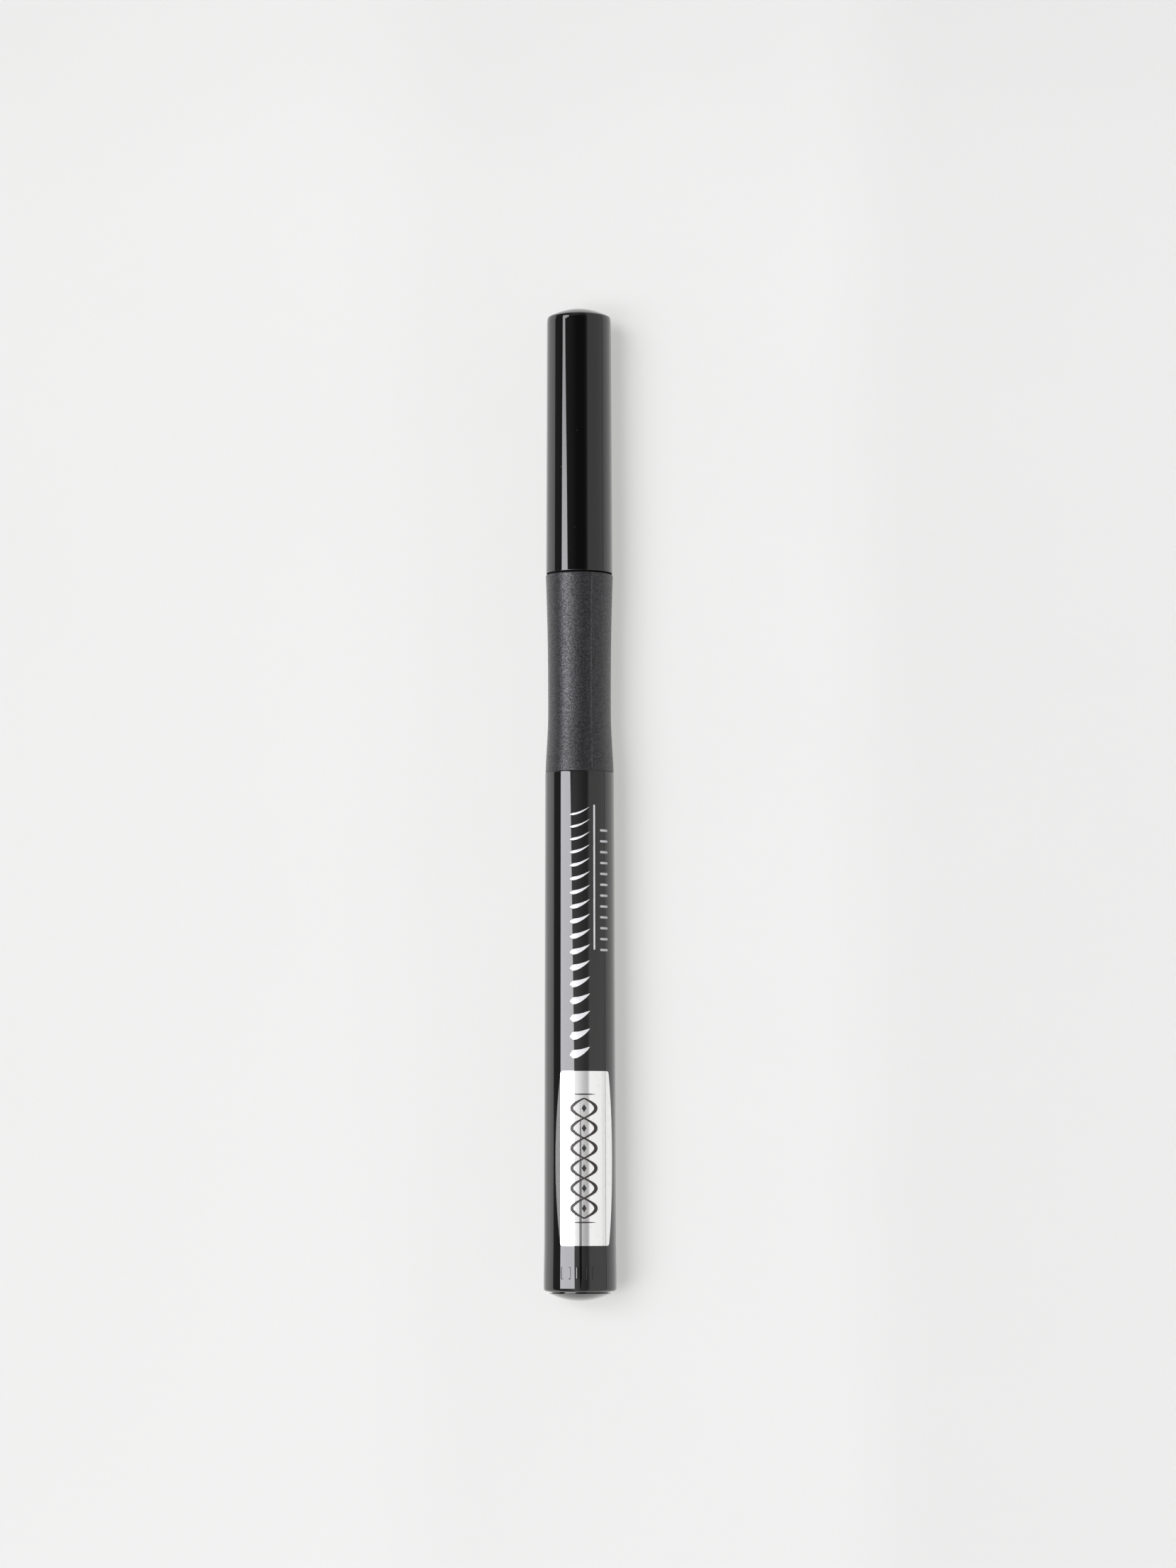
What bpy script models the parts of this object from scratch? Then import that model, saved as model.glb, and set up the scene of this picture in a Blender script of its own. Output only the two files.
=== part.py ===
"""A capped felt-tip eyeliner pen lying on a table, built as the separate pieces it is assembled from.

The pen lies along Y with its cap towards +Y. The origin is on the table, below the middle of the pen.
Every turned piece is a profile of (radius, height) pairs, where the height runs along the pen's axis
towards the cap. A profile that goes round a solid keeps the solid on its right-hand side.
"""

import math

import bpy

MM = 0.001

# Clearances
RUN = 0.30 * MM  # radial room between pieces that move past each other
FIT = 0.20 * MM  # radial room between pieces that are pressed together
SEAT = 0.30 * MM  # axial room between a piece and the face it seats on

# Radial stack, from the wick out to the cap
WICK_RADIUS = 0.62 * MM
HOLDER_WALL = 0.38 * MM
NOZZLE_WALL = 0.45 * MM
INNER_CAP_WALL = 0.65 * MM
FLANGE_LAP = 0.40 * MM  # how far the inner cap's flange reaches over the cap's rib
CAP_WALL = 0.785 * MM

# Cap shell
CAP_TAPER = 0.143 * MM  # how much thinner the cap is at its closed end, on the radius
CAP_END_WALL = 0.72 * MM
CAP_RIM_ROUND = 0.35 * MM
CAP_DOME_RISE = 1.15 * MM
CAP_MOUTH_EDGE = 0.12 * MM
CAP_RIB_LENGTH = 0.80 * MM
SNAP_GROOVE_DEPTH = 0.12 * MM
SNAP_GROOVE_LENGTH = 1.20 * MM
RIM_TURN = math.radians(60)  # how far the rim's rounding turns before it meets the dome

# Inner cap and its spring
INNER_CAP_TRAVEL = 1.20 * MM
INNER_CAP_OVERLAP = 3.70 * MM  # length of nozzle that the inner cap covers
INNER_CAP_END_WALL = 0.80 * MM
NIB_END_ROOM = 1.00 * MM
FLANGE_LENGTH = 1.00 * MM
BOSS_HEIGHT = 1.20 * MM
SPRING_LENGTH = 7.40 * MM
SPRING_WIRE = 0.40 * MM
SPRING_SIDE_ROOM = 0.80 * MM  # radial room between the wire and the cap's bore
SPRING_TURNS = 5.5

# Nib and holder
NIB_ROOT_RADIUS = 0.55 * MM
NIB_END_RADIUS = 0.11 * MM
NIB_REACH = 6.40 * MM
NIB_ROOT_LENGTH = 1.30 * MM
HOLDER_REACH = 0.80 * MM
HOLDER_DEPTH = 6.00 * MM
HOLDER_NECKING = 0.14 * MM  # how much thinner the holder is at its mouth, on the radius
WICK_RECESS = 0.10 * MM
WICK_BITE = 6.00 * MM  # how far the wick reaches into the reservoir

# Front section
NECK_LENGTH = 7.00 * MM
BEAD_HEIGHT = 0.15 * MM
BEAD_LENGTH = 0.50 * MM
BEAD_RAMP = 0.30 * MM
BEAD_FROM_SHOULDER = 3.50 * MM
NECK_WALL = 0.95 * MM
NOZZLE_EDGE = 0.12 * MM
WICK_GUIDE_LENGTH = 2.00 * MM
FUNNEL_LENGTH = 1.00 * MM
CONE_LENGTH = 7.50 * MM
SPIGOT_STEP = 0.35 * MM
SPIGOT_LENGTH = 10.00 * MM
SPIGOT_LEAD = 0.30 * MM

# Grip sleeve
GRIP_WAIST_WALL = 0.84 * MM
GRIP_FRONT_RISE = 0.303 * MM
GRIP_REAR_RISE = 0.36 * MM
WAIST_TO_FRONT = 16.69 * MM
WAIST_TO_SWELL = 2.60 * MM
SWELL_LENGTH = 8.42 * MM
GRIP_EDGE = 0.10 * MM

# Barrel and tail plug
BARREL_LENGTH = 71.68 * MM
BARREL_WALL = 0.81 * MM
BARREL_TAPER = 0.18 * MM  # how much wider the barrel is where its flare begins, on the radius
FLARE_LENGTH = 6.10 * MM
FLARE_RISE = 0.078 * MM
RIM_BAND = 0.90 * MM  # straight length of the rim, which the pen rests on
RIM_LIP = 0.438 * MM
RIM_ROUND = 0.30 * MM
PLUG_RECESS = 0.60 * MM
PLUG_PROUD = 0.14 * MM
PLUG_DOME_RISE = 1.20 * MM
PLUG_SPIGOT_LENGTH = 7.00 * MM
PLUG_WALL = 0.85 * MM
PLUG_FLOOR = 1.10 * MM

# Reservoir
FILM_THICKNESS = 0.15 * MM
PIERCING_ROOM = 0.30 * MM

# Counts
FACETS = 30  # a multiple of two that leaves a flat facet underneath
FINE_FACETS = 20
NIB_FACETS = 16
DOME_RINGS = 5
ROUND_RINGS = 3
ARC_RINGS = 4
SWELL_RINGS = 6
SPRING_POINTS = 10  # points in one turn

# How much of a fillet's own wall it may take where the wall is thin
FILLET_SHARE = 0.8
# The nib's outline: height as a share of its reach above the root, radius as a share of the root's
NIB_OUTLINE_SHARES = ((0.0, 1.0), (0.30, 0.86), (0.60, 0.62), (0.85, 0.36))


def limited(fillet, wall):
    """A fillet, held within its share of the wall that carries it."""
    return min(fillet, FILLET_SHARE * wall)


# Radii that follow from the stack
HOLDER_BORE = WICK_RADIUS + FIT
HOLDER_RADIUS = HOLDER_BORE + HOLDER_WALL
NOZZLE_BORE = HOLDER_RADIUS + FIT
NOZZLE_RADIUS = NOZZLE_BORE + NOZZLE_WALL
INNER_CAP_BORE = NOZZLE_RADIUS + RUN
INNER_CAP_RADIUS = INNER_CAP_BORE + INNER_CAP_WALL
RIB_BORE = INNER_CAP_RADIUS + RUN
FLANGE_RADIUS = RIB_BORE + FLANGE_LAP
CAP_BORE = FLANGE_RADIUS + RUN
CAP_MOUTH_RADIUS = CAP_BORE + CAP_WALL
NECK_RADIUS = CAP_BORE - RUN - BEAD_HEIGHT
GRIP_BORE = NECK_RADIUS + FIT
WAIST_RADIUS = GRIP_BORE + GRIP_WAIST_WALL
SPIGOT_RADIUS = NECK_RADIUS + SPIGOT_STEP
BARREL_BORE = SPIGOT_RADIUS + FIT
BARREL_RADIUS = BARREL_BORE + BARREL_WALL
RIM_RADIUS = BARREL_RADIUS + BARREL_TAPER + FLARE_RISE
PLUG_RECESS_RADIUS = RIM_RADIUS - RIM_LIP
PLUG_HEAD_RADIUS = PLUG_RECESS_RADIUS - FIT
PLUG_SPIGOT_RADIUS = BARREL_BORE - FIT
SPRING_RADIUS = CAP_BORE - SPRING_SIDE_ROOM - SPRING_WIRE / 2
BOSS_RADIUS = SPRING_RADIUS - SPRING_WIRE / 2 - RUN

# Lengths that follow from the pieces they hold
GRIP_LENGTH = WAIST_TO_FRONT + WAIST_TO_SWELL + SWELL_LENGTH
NOZZLE_LENGTH = INNER_CAP_OVERLAP + SEAT
NOSE_LENGTH = NECK_LENGTH + CONE_LENGTH + NOZZLE_LENGTH
INNER_CAP_DEPTH = INNER_CAP_OVERLAP + HOLDER_REACH + SEAT + NIB_REACH + NIB_END_ROOM
INNER_CAP_LENGTH = INNER_CAP_DEPTH + INNER_CAP_END_WALL

# Stations along the axis, first from the grip's front shoulder, then from the pen's middle
INNER_CAP_RISE = NECK_LENGTH + CONE_LENGTH + SEAT
FLANGE_TOP_RISE = INNER_CAP_RISE + INNER_CAP_LENGTH
CAP_INSIDE_RISE = FLANGE_TOP_RISE + SEAT + SPRING_LENGTH + SEAT
CAP_SIDE_RISE = CAP_INSIDE_RISE + CAP_END_WALL
CAP_TOP_RISE = CAP_SIDE_RISE + CAP_RIM_ROUND * math.sin(RIM_TURN) + CAP_DOME_RISE
BODY_LENGTH = PLUG_DOME_RISE + PLUG_PROUD + BARREL_LENGTH + SEAT + GRIP_LENGTH
OVERALL_LENGTH = BODY_LENGTH + CAP_TOP_RISE
SHOULDER = BODY_LENGTH - OVERALL_LENGTH / 2
GRIP_REAR = SHOULDER - GRIP_LENGTH
BARREL_FRONT = GRIP_REAR - SEAT
BARREL_REAR = BARREL_FRONT - BARREL_LENGTH
CAP_MOUTH = SHOULDER + SEAT
INNER_CAP_MOUTH = SHOULDER + INNER_CAP_RISE
NOZZLE_TIP = SHOULDER + NOSE_LENGTH
HOLDER_TIP = NOZZLE_TIP + HOLDER_REACH
NIB_ROOT = HOLDER_TIP + SEAT
HOLDER_REAR = NOZZLE_TIP - HOLDER_DEPTH + SEAT
SPRING_FOOT = SHOULDER + FLANGE_TOP_RISE + SEAT
SPIGOT_END = BARREL_FRONT - SPIGOT_LENGTH
PLUG_SPIGOT_END = BARREL_REAR + PLUG_RECESS - SEAT + PLUG_SPIGOT_LENGTH
RESERVOIR_FRONT = SPIGOT_END - SEAT
RESERVOIR_REAR = PLUG_SPIGOT_END + SEAT
WICK_REAR = RESERVOIR_FRONT - WICK_BITE
AXIS_HEIGHT = RIM_RADIUS * math.cos(math.pi / FACETS)


def clear_scene():
    """Removes whatever the file opened with."""
    for thing in list(bpy.data.objects):
        bpy.data.objects.remove(thing, do_unlink=True)


def make_collection(name):
    """A collection linked into the scene."""
    collection = bpy.data.collections.new(name)
    bpy.context.scene.collection.children.link(collection)
    return collection


def make_material(name, colour, roughness, metallic=0.0):
    """A plain Principled material."""
    material = bpy.data.materials.new(name)
    material.use_nodes = True
    shader = material.node_tree.nodes["Principled BSDF"]
    shader.inputs["Base Color"].default_value = (*colour, 1.0)
    shader.inputs["Roughness"].default_value = roughness
    shader.inputs["Metallic"].default_value = metallic
    return material


def make_empty(name, collection, parent=None, height=0.0):
    """An empty on the pen's axis, at a height above its parent."""
    empty = bpy.data.objects.new(name, None)
    collection.objects.link(empty)
    empty.parent = parent
    empty.location = (0.0, 0.0, height)
    return empty


def place(thing, carrier, station):
    """Parents an object to its carrier with its own zero at a station on the pen's axis."""
    thing.parent = carrier
    above = 0.0
    holder = carrier
    while holder.parent is not None:
        above += holder.location.z
        holder = holder.parent
    thing.location = (0.0, 0.0, station - above)


def turned(name, profile, material, collection, facets=FACETS, ring=False):
    """Turns a profile of (radius, height) pairs about the axis; a ring's profile closes on itself."""
    count = len(profile)
    edges = [(i, i + 1) for i in range(count - 1)]
    if ring:
        edges.append((count - 1, 0))
    mesh = bpy.data.meshes.new(name)
    mesh.from_pydata([(radius, 0.0, height) for radius, height in profile], edges, [])
    mesh.materials.append(material)
    piece = bpy.data.objects.new(name, mesh)
    collection.objects.link(piece)
    screw = piece.modifiers.new("turn", "SCREW")
    screw.axis = "Z"
    screw.angle = math.tau
    screw.steps = facets
    screw.render_steps = facets
    screw.use_merge_vertices = True
    screw.merge_threshold = MM / 1000
    screw.use_smooth_shade = True
    return piece


def arc(centre, radius, start, end, rings):
    """Points on an arc about a (radius, height) centre, angles measured from straight out."""
    turns = [start + (end - start) * i / rings for i in range(rings + 1)]
    return [(centre[0] + radius * math.cos(t), centre[1] + radius * math.sin(t)) for t in turns]


def dome(chord, rise, base, upward=True):
    """A spherical dome from its pole to its rim; it stands on the height base."""
    sphere = (chord**2 + rise**2) / (2 * rise)
    reach = math.asin(min(chord / sphere, 1.0))
    way = 1 if upward else -1
    points = []
    for i in range(DOME_RINGS + 1):
        turn = reach * i / DOME_RINGS
        points.append((sphere * math.sin(turn), base + way * (rise - sphere * (1 - math.cos(turn)))))
    points[0] = (0.0, points[0][1])
    return points


def make_cap_shell(material, collection):
    """The cap: domed end, rounded rim, tapered wall, snap groove at the mouth and the inner cap's rib."""
    end_radius = CAP_MOUTH_RADIUS - CAP_TAPER
    rounding = limited(CAP_RIM_ROUND, CAP_WALL)
    chord = end_radius - rounding * (1 - math.cos(RIM_TURN))
    edge = limited(CAP_MOUTH_EDGE, CAP_WALL / 2)
    side_top = CAP_SIDE_RISE - SEAT
    inside_top = CAP_INSIDE_RISE - SEAT
    groove_middle = BEAD_FROM_SHOULDER - SEAT
    groove_half = SNAP_GROOVE_LENGTH / 2
    groove_bore = CAP_BORE + SNAP_GROOVE_DEPTH
    rib_top = FLANGE_TOP_RISE - FLANGE_LENGTH - INNER_CAP_TRAVEL - SEAT - SEAT
    rib_foot = rib_top - CAP_RIB_LENGTH
    ramp = CAP_BORE - RIB_BORE
    profile = dome(chord, CAP_DOME_RISE, side_top + rounding * math.sin(RIM_TURN))[:-1]
    profile += arc((end_radius - rounding, side_top), rounding, RIM_TURN, 0.0, ROUND_RINGS)
    profile += [
        (CAP_MOUTH_RADIUS, edge),
        (CAP_MOUTH_RADIUS - edge, 0.0),
        (CAP_BORE + edge, 0.0),
        (CAP_BORE, edge),
        (CAP_BORE, groove_middle - groove_half),
        (groove_bore, groove_middle - groove_half + SNAP_GROOVE_DEPTH),
        (groove_bore, groove_middle + groove_half - SNAP_GROOVE_DEPTH),
        (CAP_BORE, groove_middle + groove_half),
        (CAP_BORE, rib_foot - ramp),
        (RIB_BORE, rib_foot),
        (RIB_BORE, rib_top),
        (CAP_BORE, rib_top),
        (CAP_BORE, inside_top),
        (0.0, inside_top),
    ]
    return turned("cap_shell", profile, material, collection)


def make_inner_cap(material, collection):
    """The sealing cup: open mouth on the nozzle's step, flange behind, and a boss that centres the spring."""
    edge = limited(NOZZLE_EDGE, INNER_CAP_WALL / 2)
    top = INNER_CAP_LENGTH
    profile = [
        (0.0, top + BOSS_HEIGHT),
        (BOSS_RADIUS - edge, top + BOSS_HEIGHT),
        (BOSS_RADIUS, top + BOSS_HEIGHT - edge),
        (BOSS_RADIUS, top),
        (FLANGE_RADIUS, top),
        (FLANGE_RADIUS, top - FLANGE_LENGTH),
        (INNER_CAP_RADIUS, top - FLANGE_LENGTH),
        (INNER_CAP_RADIUS, edge),
        (INNER_CAP_RADIUS - edge, 0.0),
        (INNER_CAP_BORE + edge, 0.0),
        (INNER_CAP_BORE, edge),
        (INNER_CAP_BORE, INNER_CAP_DEPTH),
        (0.0, INNER_CAP_DEPTH),
    ]
    return turned("inner_cap", profile, material, collection, FINE_FACETS)


def helix():
    """The points along the spring's wire, whose outer faces are one spring length apart."""
    climb = SPRING_LENGTH - SPRING_WIRE
    total = round(SPRING_TURNS * SPRING_POINTS)
    points = []
    for i in range(total + 1):
        turn = math.tau * i / SPRING_POINTS
        height = SPRING_WIRE / 2 + climb * i / total
        points.append((SPRING_RADIUS * math.cos(turn), SPRING_RADIUS * math.sin(turn), height))
    return points


def least_gap(points, apart):
    """The least gap of a wire to itself, between points at least a given count apart."""
    gaps = [math.dist(a, b) for i, a in enumerate(points) for b in points[i + apart:]]
    return min(gaps) - SPRING_WIRE


def make_spring(material, collection):
    """The inner cap's compression spring, one unbroken wire."""
    points = helix()
    print(f"spring: least gap to itself {least_gap(points, SPRING_POINTS // 2) / MM:.2f} mm")
    curve = bpy.data.curves.new("inner_cap_spring", "CURVE")
    curve.dimensions = "3D"
    curve.bevel_depth = SPRING_WIRE / 2
    curve.bevel_resolution = 1
    curve.use_fill_caps = True
    spline = curve.splines.new("POLY")
    spline.points.add(len(points) - 1)
    for point, place_of_point in zip(spline.points, points):
        point.co = (*place_of_point, 1.0)
    curve.materials.append(material)
    spring = bpy.data.objects.new("inner_cap_spring", curve)
    collection.objects.link(spring)
    return spring


def make_nib_tip(material, collection):
    """The flexible tip: a short straight root, a taper with a slight belly and a rounded point."""
    taper = NIB_REACH - NIB_ROOT_LENGTH - NIB_END_RADIUS
    swell = NIB_ROOT_RADIUS - NIB_END_RADIUS
    profile = arc((0.0, NIB_REACH - NIB_END_RADIUS), NIB_END_RADIUS, math.pi / 2, 0.0, ROUND_RINGS)
    profile[0] = (0.0, NIB_REACH)
    for height_share, radius_share in reversed(NIB_OUTLINE_SHARES):
        profile.append((NIB_END_RADIUS + swell * radius_share, NIB_ROOT_LENGTH + taper * height_share))
    profile += [(NIB_ROOT_RADIUS, 0.0), (0.0, 0.0)]
    return turned("nib_tip", profile, material, collection, NIB_FACETS)


def make_feed_wick(material, collection):
    """The fibre rod, from just inside the holder's mouth to its bite in the reservoir."""
    length = HOLDER_TIP - WICK_RECESS - WICK_REAR
    profile = [(0.0, length), (WICK_RADIUS, length), (WICK_RADIUS, 0.0), (0.0, 0.0)]
    return turned("feed_wick", profile, material, collection, NIB_FACETS)


def make_nib_holder(material, collection):
    """The collar that grips the wick: straight in the nozzle and drawn in at its mouth."""
    length = HOLDER_TIP - HOLDER_REAR
    seated = NOZZLE_TIP - HOLDER_REAR
    edge = limited(HOLDER_NECKING, HOLDER_WALL)
    profile = [
        (HOLDER_BORE, length),
        (HOLDER_RADIUS - edge, length),
        (HOLDER_RADIUS, seated),
        (HOLDER_RADIUS, edge),
        (HOLDER_RADIUS - edge, 0.0),
        (HOLDER_BORE, 0.0),
    ]
    return turned("nib_holder", profile, material, collection, FINE_FACETS, ring=True)


def make_front_section(material, collection):
    """Nozzle, sealing step, cone, neck with snap bead, stem under the grip and spigot in the barrel."""
    spigot_top = BARREL_FRONT - SHOULDER
    spigot_foot = SPIGOT_END - SHOULDER
    lead = limited(SPIGOT_LEAD, SPIGOT_STEP)
    edge = limited(NOZZLE_EDGE, NOZZLE_WALL)
    half_bead = BEAD_LENGTH / 2
    stem_bore = NECK_RADIUS - NECK_WALL
    seat_height = NECK_LENGTH + CONE_LENGTH
    holder_seat = NOSE_LENGTH - HOLDER_DEPTH
    guide_foot = holder_seat - WICK_GUIDE_LENGTH
    profile = [
        (NOZZLE_BORE, NOSE_LENGTH),
        (NOZZLE_RADIUS - edge, NOSE_LENGTH),
        (NOZZLE_RADIUS, NOSE_LENGTH - edge),
        (NOZZLE_RADIUS, seat_height),
        (INNER_CAP_RADIUS, seat_height),
        (NECK_RADIUS, NECK_LENGTH),
        (NECK_RADIUS, BEAD_FROM_SHOULDER + half_bead + BEAD_RAMP),
        (NECK_RADIUS + BEAD_HEIGHT, BEAD_FROM_SHOULDER + half_bead),
        (NECK_RADIUS + BEAD_HEIGHT, BEAD_FROM_SHOULDER - half_bead),
        (NECK_RADIUS, BEAD_FROM_SHOULDER - half_bead - BEAD_RAMP),
        (NECK_RADIUS, spigot_top),
        (SPIGOT_RADIUS, spigot_top),
        (SPIGOT_RADIUS, spigot_foot + lead),
        (SPIGOT_RADIUS - lead, spigot_foot),
        (stem_bore, spigot_foot),
        (stem_bore, guide_foot - FUNNEL_LENGTH),
        (HOLDER_BORE, guide_foot),
        (HOLDER_BORE, holder_seat),
        (NOZZLE_BORE, holder_seat),
    ]
    return turned("front_section", profile, material, collection, ring=True)


def grip_outline():
    """The waisted outside, from the front down: an even arc to the waist, then an S-shaped swell."""
    waist = GRIP_LENGTH - WAIST_TO_FRONT
    points = []
    for i in range(ARC_RINGS + 1):
        way = 1 - i / ARC_RINGS
        points.append((WAIST_RADIUS + GRIP_FRONT_RISE * way**2, waist + WAIST_TO_FRONT * way))
    for i in range(SWELL_RINGS + 1):
        way = i / SWELL_RINGS
        ease = way**2 * (3 - 2 * way)
        points.append((WAIST_RADIUS + GRIP_REAR_RISE * ease, SWELL_LENGTH * (1 - way)))
    return points


def make_grip_sleeve(material, collection):
    """The grip, with both outer edges eased."""
    edge = limited(GRIP_EDGE, GRIP_WAIST_WALL)
    outline = grip_outline()
    front, rear = outline[0][0], outline[-1][0]
    profile = [(GRIP_BORE, GRIP_LENGTH), (front - edge, GRIP_LENGTH), (front, GRIP_LENGTH - edge)]
    profile += outline[1:-1]
    profile += [(rear, edge), (rear - edge, 0.0), (GRIP_BORE, 0.0)]
    return turned("grip_sleeve", profile, material, collection, ring=True)


def make_barrel_tube(material, collection):
    """The barrel: slight taper, flare and straight band at the rim, and the plug's recess."""
    flare_radius = BARREL_RADIUS + BARREL_TAPER
    rounding = limited(RIM_ROUND, RIM_LIP)
    edge = limited(GRIP_EDGE, BARREL_WALL)
    band_foot = rounding
    profile = [
        (BARREL_BORE, BARREL_LENGTH),
        (BARREL_RADIUS - edge, BARREL_LENGTH),
        (BARREL_RADIUS, BARREL_LENGTH - edge),
        (flare_radius, band_foot + RIM_BAND + FLARE_LENGTH),
        (RIM_RADIUS, band_foot + RIM_BAND),
    ]
    profile += arc((RIM_RADIUS - rounding, band_foot), rounding, 0.0, -math.pi / 2, ROUND_RINGS)
    profile += [
        (PLUG_RECESS_RADIUS, 0.0),
        (PLUG_RECESS_RADIUS, PLUG_RECESS),
        (BARREL_BORE, PLUG_RECESS),
    ]
    return turned("barrel_tube", profile, material, collection, ring=True)


def make_tail_plug(material, collection):
    """The tail plug: hollow spigot in the barrel, and a domed head in the barrel's recess."""
    head_top = PLUG_RECESS - SEAT
    spigot_top = head_top + PLUG_SPIGOT_LENGTH
    lead = limited(SPIGOT_LEAD, PLUG_WALL / 2)
    cup = PLUG_SPIGOT_RADIUS - PLUG_WALL
    profile = [
        (0.0, head_top + PLUG_FLOOR),
        (cup, head_top + PLUG_FLOOR),
        (cup, spigot_top),
        (PLUG_SPIGOT_RADIUS - lead, spigot_top),
        (PLUG_SPIGOT_RADIUS, spigot_top - lead),
        (PLUG_SPIGOT_RADIUS, head_top),
        (PLUG_HEAD_RADIUS, head_top),
    ]
    profile += reversed(dome(PLUG_HEAD_RADIUS, PLUG_DOME_RISE, -PLUG_PROUD, upward=False))
    return turned("tail_plug", profile, material, collection)


def make_reservoir_core(material, collection):
    """The fibre core, with the hole that the wick pierces."""
    radius = BARREL_BORE - FIT - FILM_THICKNESS - FIT
    length = RESERVOIR_FRONT - RESERVOIR_REAR
    hole = WICK_RADIUS + FIT
    hole_foot = length - WICK_BITE - PIERCING_ROOM
    profile = [(0.0, hole_foot), (hole, hole_foot), (hole, length)]
    profile += [(radius, length), (radius, 0.0), (0.0, 0.0)]
    return turned("reservoir_core", profile, material, collection)


def make_reservoir_film(material, collection):
    """The film wrapped round the core, open at both ends."""
    outside = BARREL_BORE - FIT
    inside = outside - FILM_THICKNESS
    length = RESERVOIR_FRONT - RESERVOIR_REAR
    profile = [(inside, length), (outside, length), (outside, 0.0), (inside, 0.0)]
    return turned("reservoir_film", profile, material, collection, ring=True)


def make_carriers(collection):
    """The pen's axis and the empties that carry what moves, in the order that the motions stack."""
    axis = make_empty("pen_axis", collection, height=AXIS_HEIGHT)
    axis.rotation_euler = (-math.pi / 2, 0.0, 0.0)
    nib = make_empty("nib_pivot", collection, axis, NIB_ROOT)
    pull = make_empty("cap_pull_carrier", collection, axis, INNER_CAP_MOUTH)
    turn = make_empty("cap_turn_carrier", collection, pull)
    lift = make_empty("cap_lift_carrier", collection, turn)
    return axis, nib, pull, turn, lift


def build_pen():
    """Builds every piece and sets it at its station on the axis."""
    clear_scene()
    pen = make_collection("eyeliner_pen")
    axis, nib, pull, turn, lift = make_carriers(pen)

    cap_black = make_material("cap_gloss_black", (0.004, 0.004, 0.004), 0.08)
    barrel_black = make_material("barrel_gloss_black", (0.014, 0.014, 0.015), 0.10)
    plug_black = make_material("plug_gloss_black", (0.006, 0.006, 0.006), 0.12)
    graphite = make_material("grip_graphite", (0.038, 0.039, 0.043), 0.45)
    moulded_black = make_material("front_moulded_black", (0.012, 0.012, 0.012), 0.30)
    natural = make_material("inner_cap_natural", (0.72, 0.73, 0.72), 0.35)
    steel = make_material("spring_steel", (0.60, 0.60, 0.60), 0.25, 1.0)
    holder_white = make_material("holder_white", (0.80, 0.80, 0.78), 0.35)
    nib_black = make_material("nib_inked", (0.010, 0.010, 0.011), 0.80)
    wick_black = make_material("wick_inked", (0.012, 0.012, 0.013), 0.90)
    core_black = make_material("core_inked", (0.016, 0.016, 0.018), 0.95)
    film_clear = make_material("film_pale", (0.70, 0.72, 0.74), 0.20)

    place(make_cap_shell(cap_black, pen), lift, CAP_MOUTH)
    place(make_inner_cap(natural, pen), pull, INNER_CAP_MOUTH)
    place(make_spring(steel, pen), turn, SPRING_FOOT)
    place(make_nib_tip(nib_black, pen), nib, NIB_ROOT)
    place(make_feed_wick(wick_black, pen), axis, WICK_REAR)
    place(make_nib_holder(holder_white, pen), axis, HOLDER_REAR)
    place(make_front_section(moulded_black, pen), axis, SHOULDER)
    place(make_grip_sleeve(graphite, pen), axis, GRIP_REAR)
    place(make_barrel_tube(barrel_black, pen), axis, BARREL_REAR)
    place(make_tail_plug(plug_black, pen), axis, BARREL_REAR)
    place(make_reservoir_core(core_black, pen), axis, RESERVOIR_REAR)
    place(make_reservoir_film(film_clear, pen), axis, RESERVOIR_REAR)
    print(f"overall length {OVERALL_LENGTH / MM:.2f} mm, widest {2 * RIM_RADIUS / MM:.2f} mm")


build_pen()
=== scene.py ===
"""The looks of a capped felt-tip eyeliner pen: its surfaces, its printing, the studio and the camera.

The pen lies along Y with its cap towards +Y and rests on the floor at z = 0. Lengths are in metres.
A station is a place along Y. An angle round the pen is measured from its top towards +X. A profile is
a list of (radius, station) pairs that is turned about the pen's axis.
"""

import logging
from dataclasses import dataclass
from enum import Enum
from functools import reduce
from math import asin, ceil, cos, dist, pi, sin, sqrt, tan, tau
from typing import Callable, Sequence

import bmesh
import bpy
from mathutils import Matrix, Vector


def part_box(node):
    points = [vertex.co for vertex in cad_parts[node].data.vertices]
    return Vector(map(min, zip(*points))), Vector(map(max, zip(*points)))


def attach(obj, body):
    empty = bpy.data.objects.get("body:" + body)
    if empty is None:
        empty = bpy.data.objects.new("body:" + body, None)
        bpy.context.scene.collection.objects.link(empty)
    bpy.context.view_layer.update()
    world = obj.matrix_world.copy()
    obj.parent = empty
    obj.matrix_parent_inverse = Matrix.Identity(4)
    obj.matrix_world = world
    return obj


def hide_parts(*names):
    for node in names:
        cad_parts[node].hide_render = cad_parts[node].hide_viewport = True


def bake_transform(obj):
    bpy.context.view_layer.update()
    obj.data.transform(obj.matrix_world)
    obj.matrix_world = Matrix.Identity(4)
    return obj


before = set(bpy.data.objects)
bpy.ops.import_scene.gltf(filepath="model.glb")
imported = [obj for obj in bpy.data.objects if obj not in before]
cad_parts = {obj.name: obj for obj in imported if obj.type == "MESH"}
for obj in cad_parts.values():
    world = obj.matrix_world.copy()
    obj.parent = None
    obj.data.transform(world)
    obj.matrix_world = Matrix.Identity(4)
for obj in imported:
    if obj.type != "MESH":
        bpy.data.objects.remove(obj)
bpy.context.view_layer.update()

MM = 0.001
DEGREE = pi / 180

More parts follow.
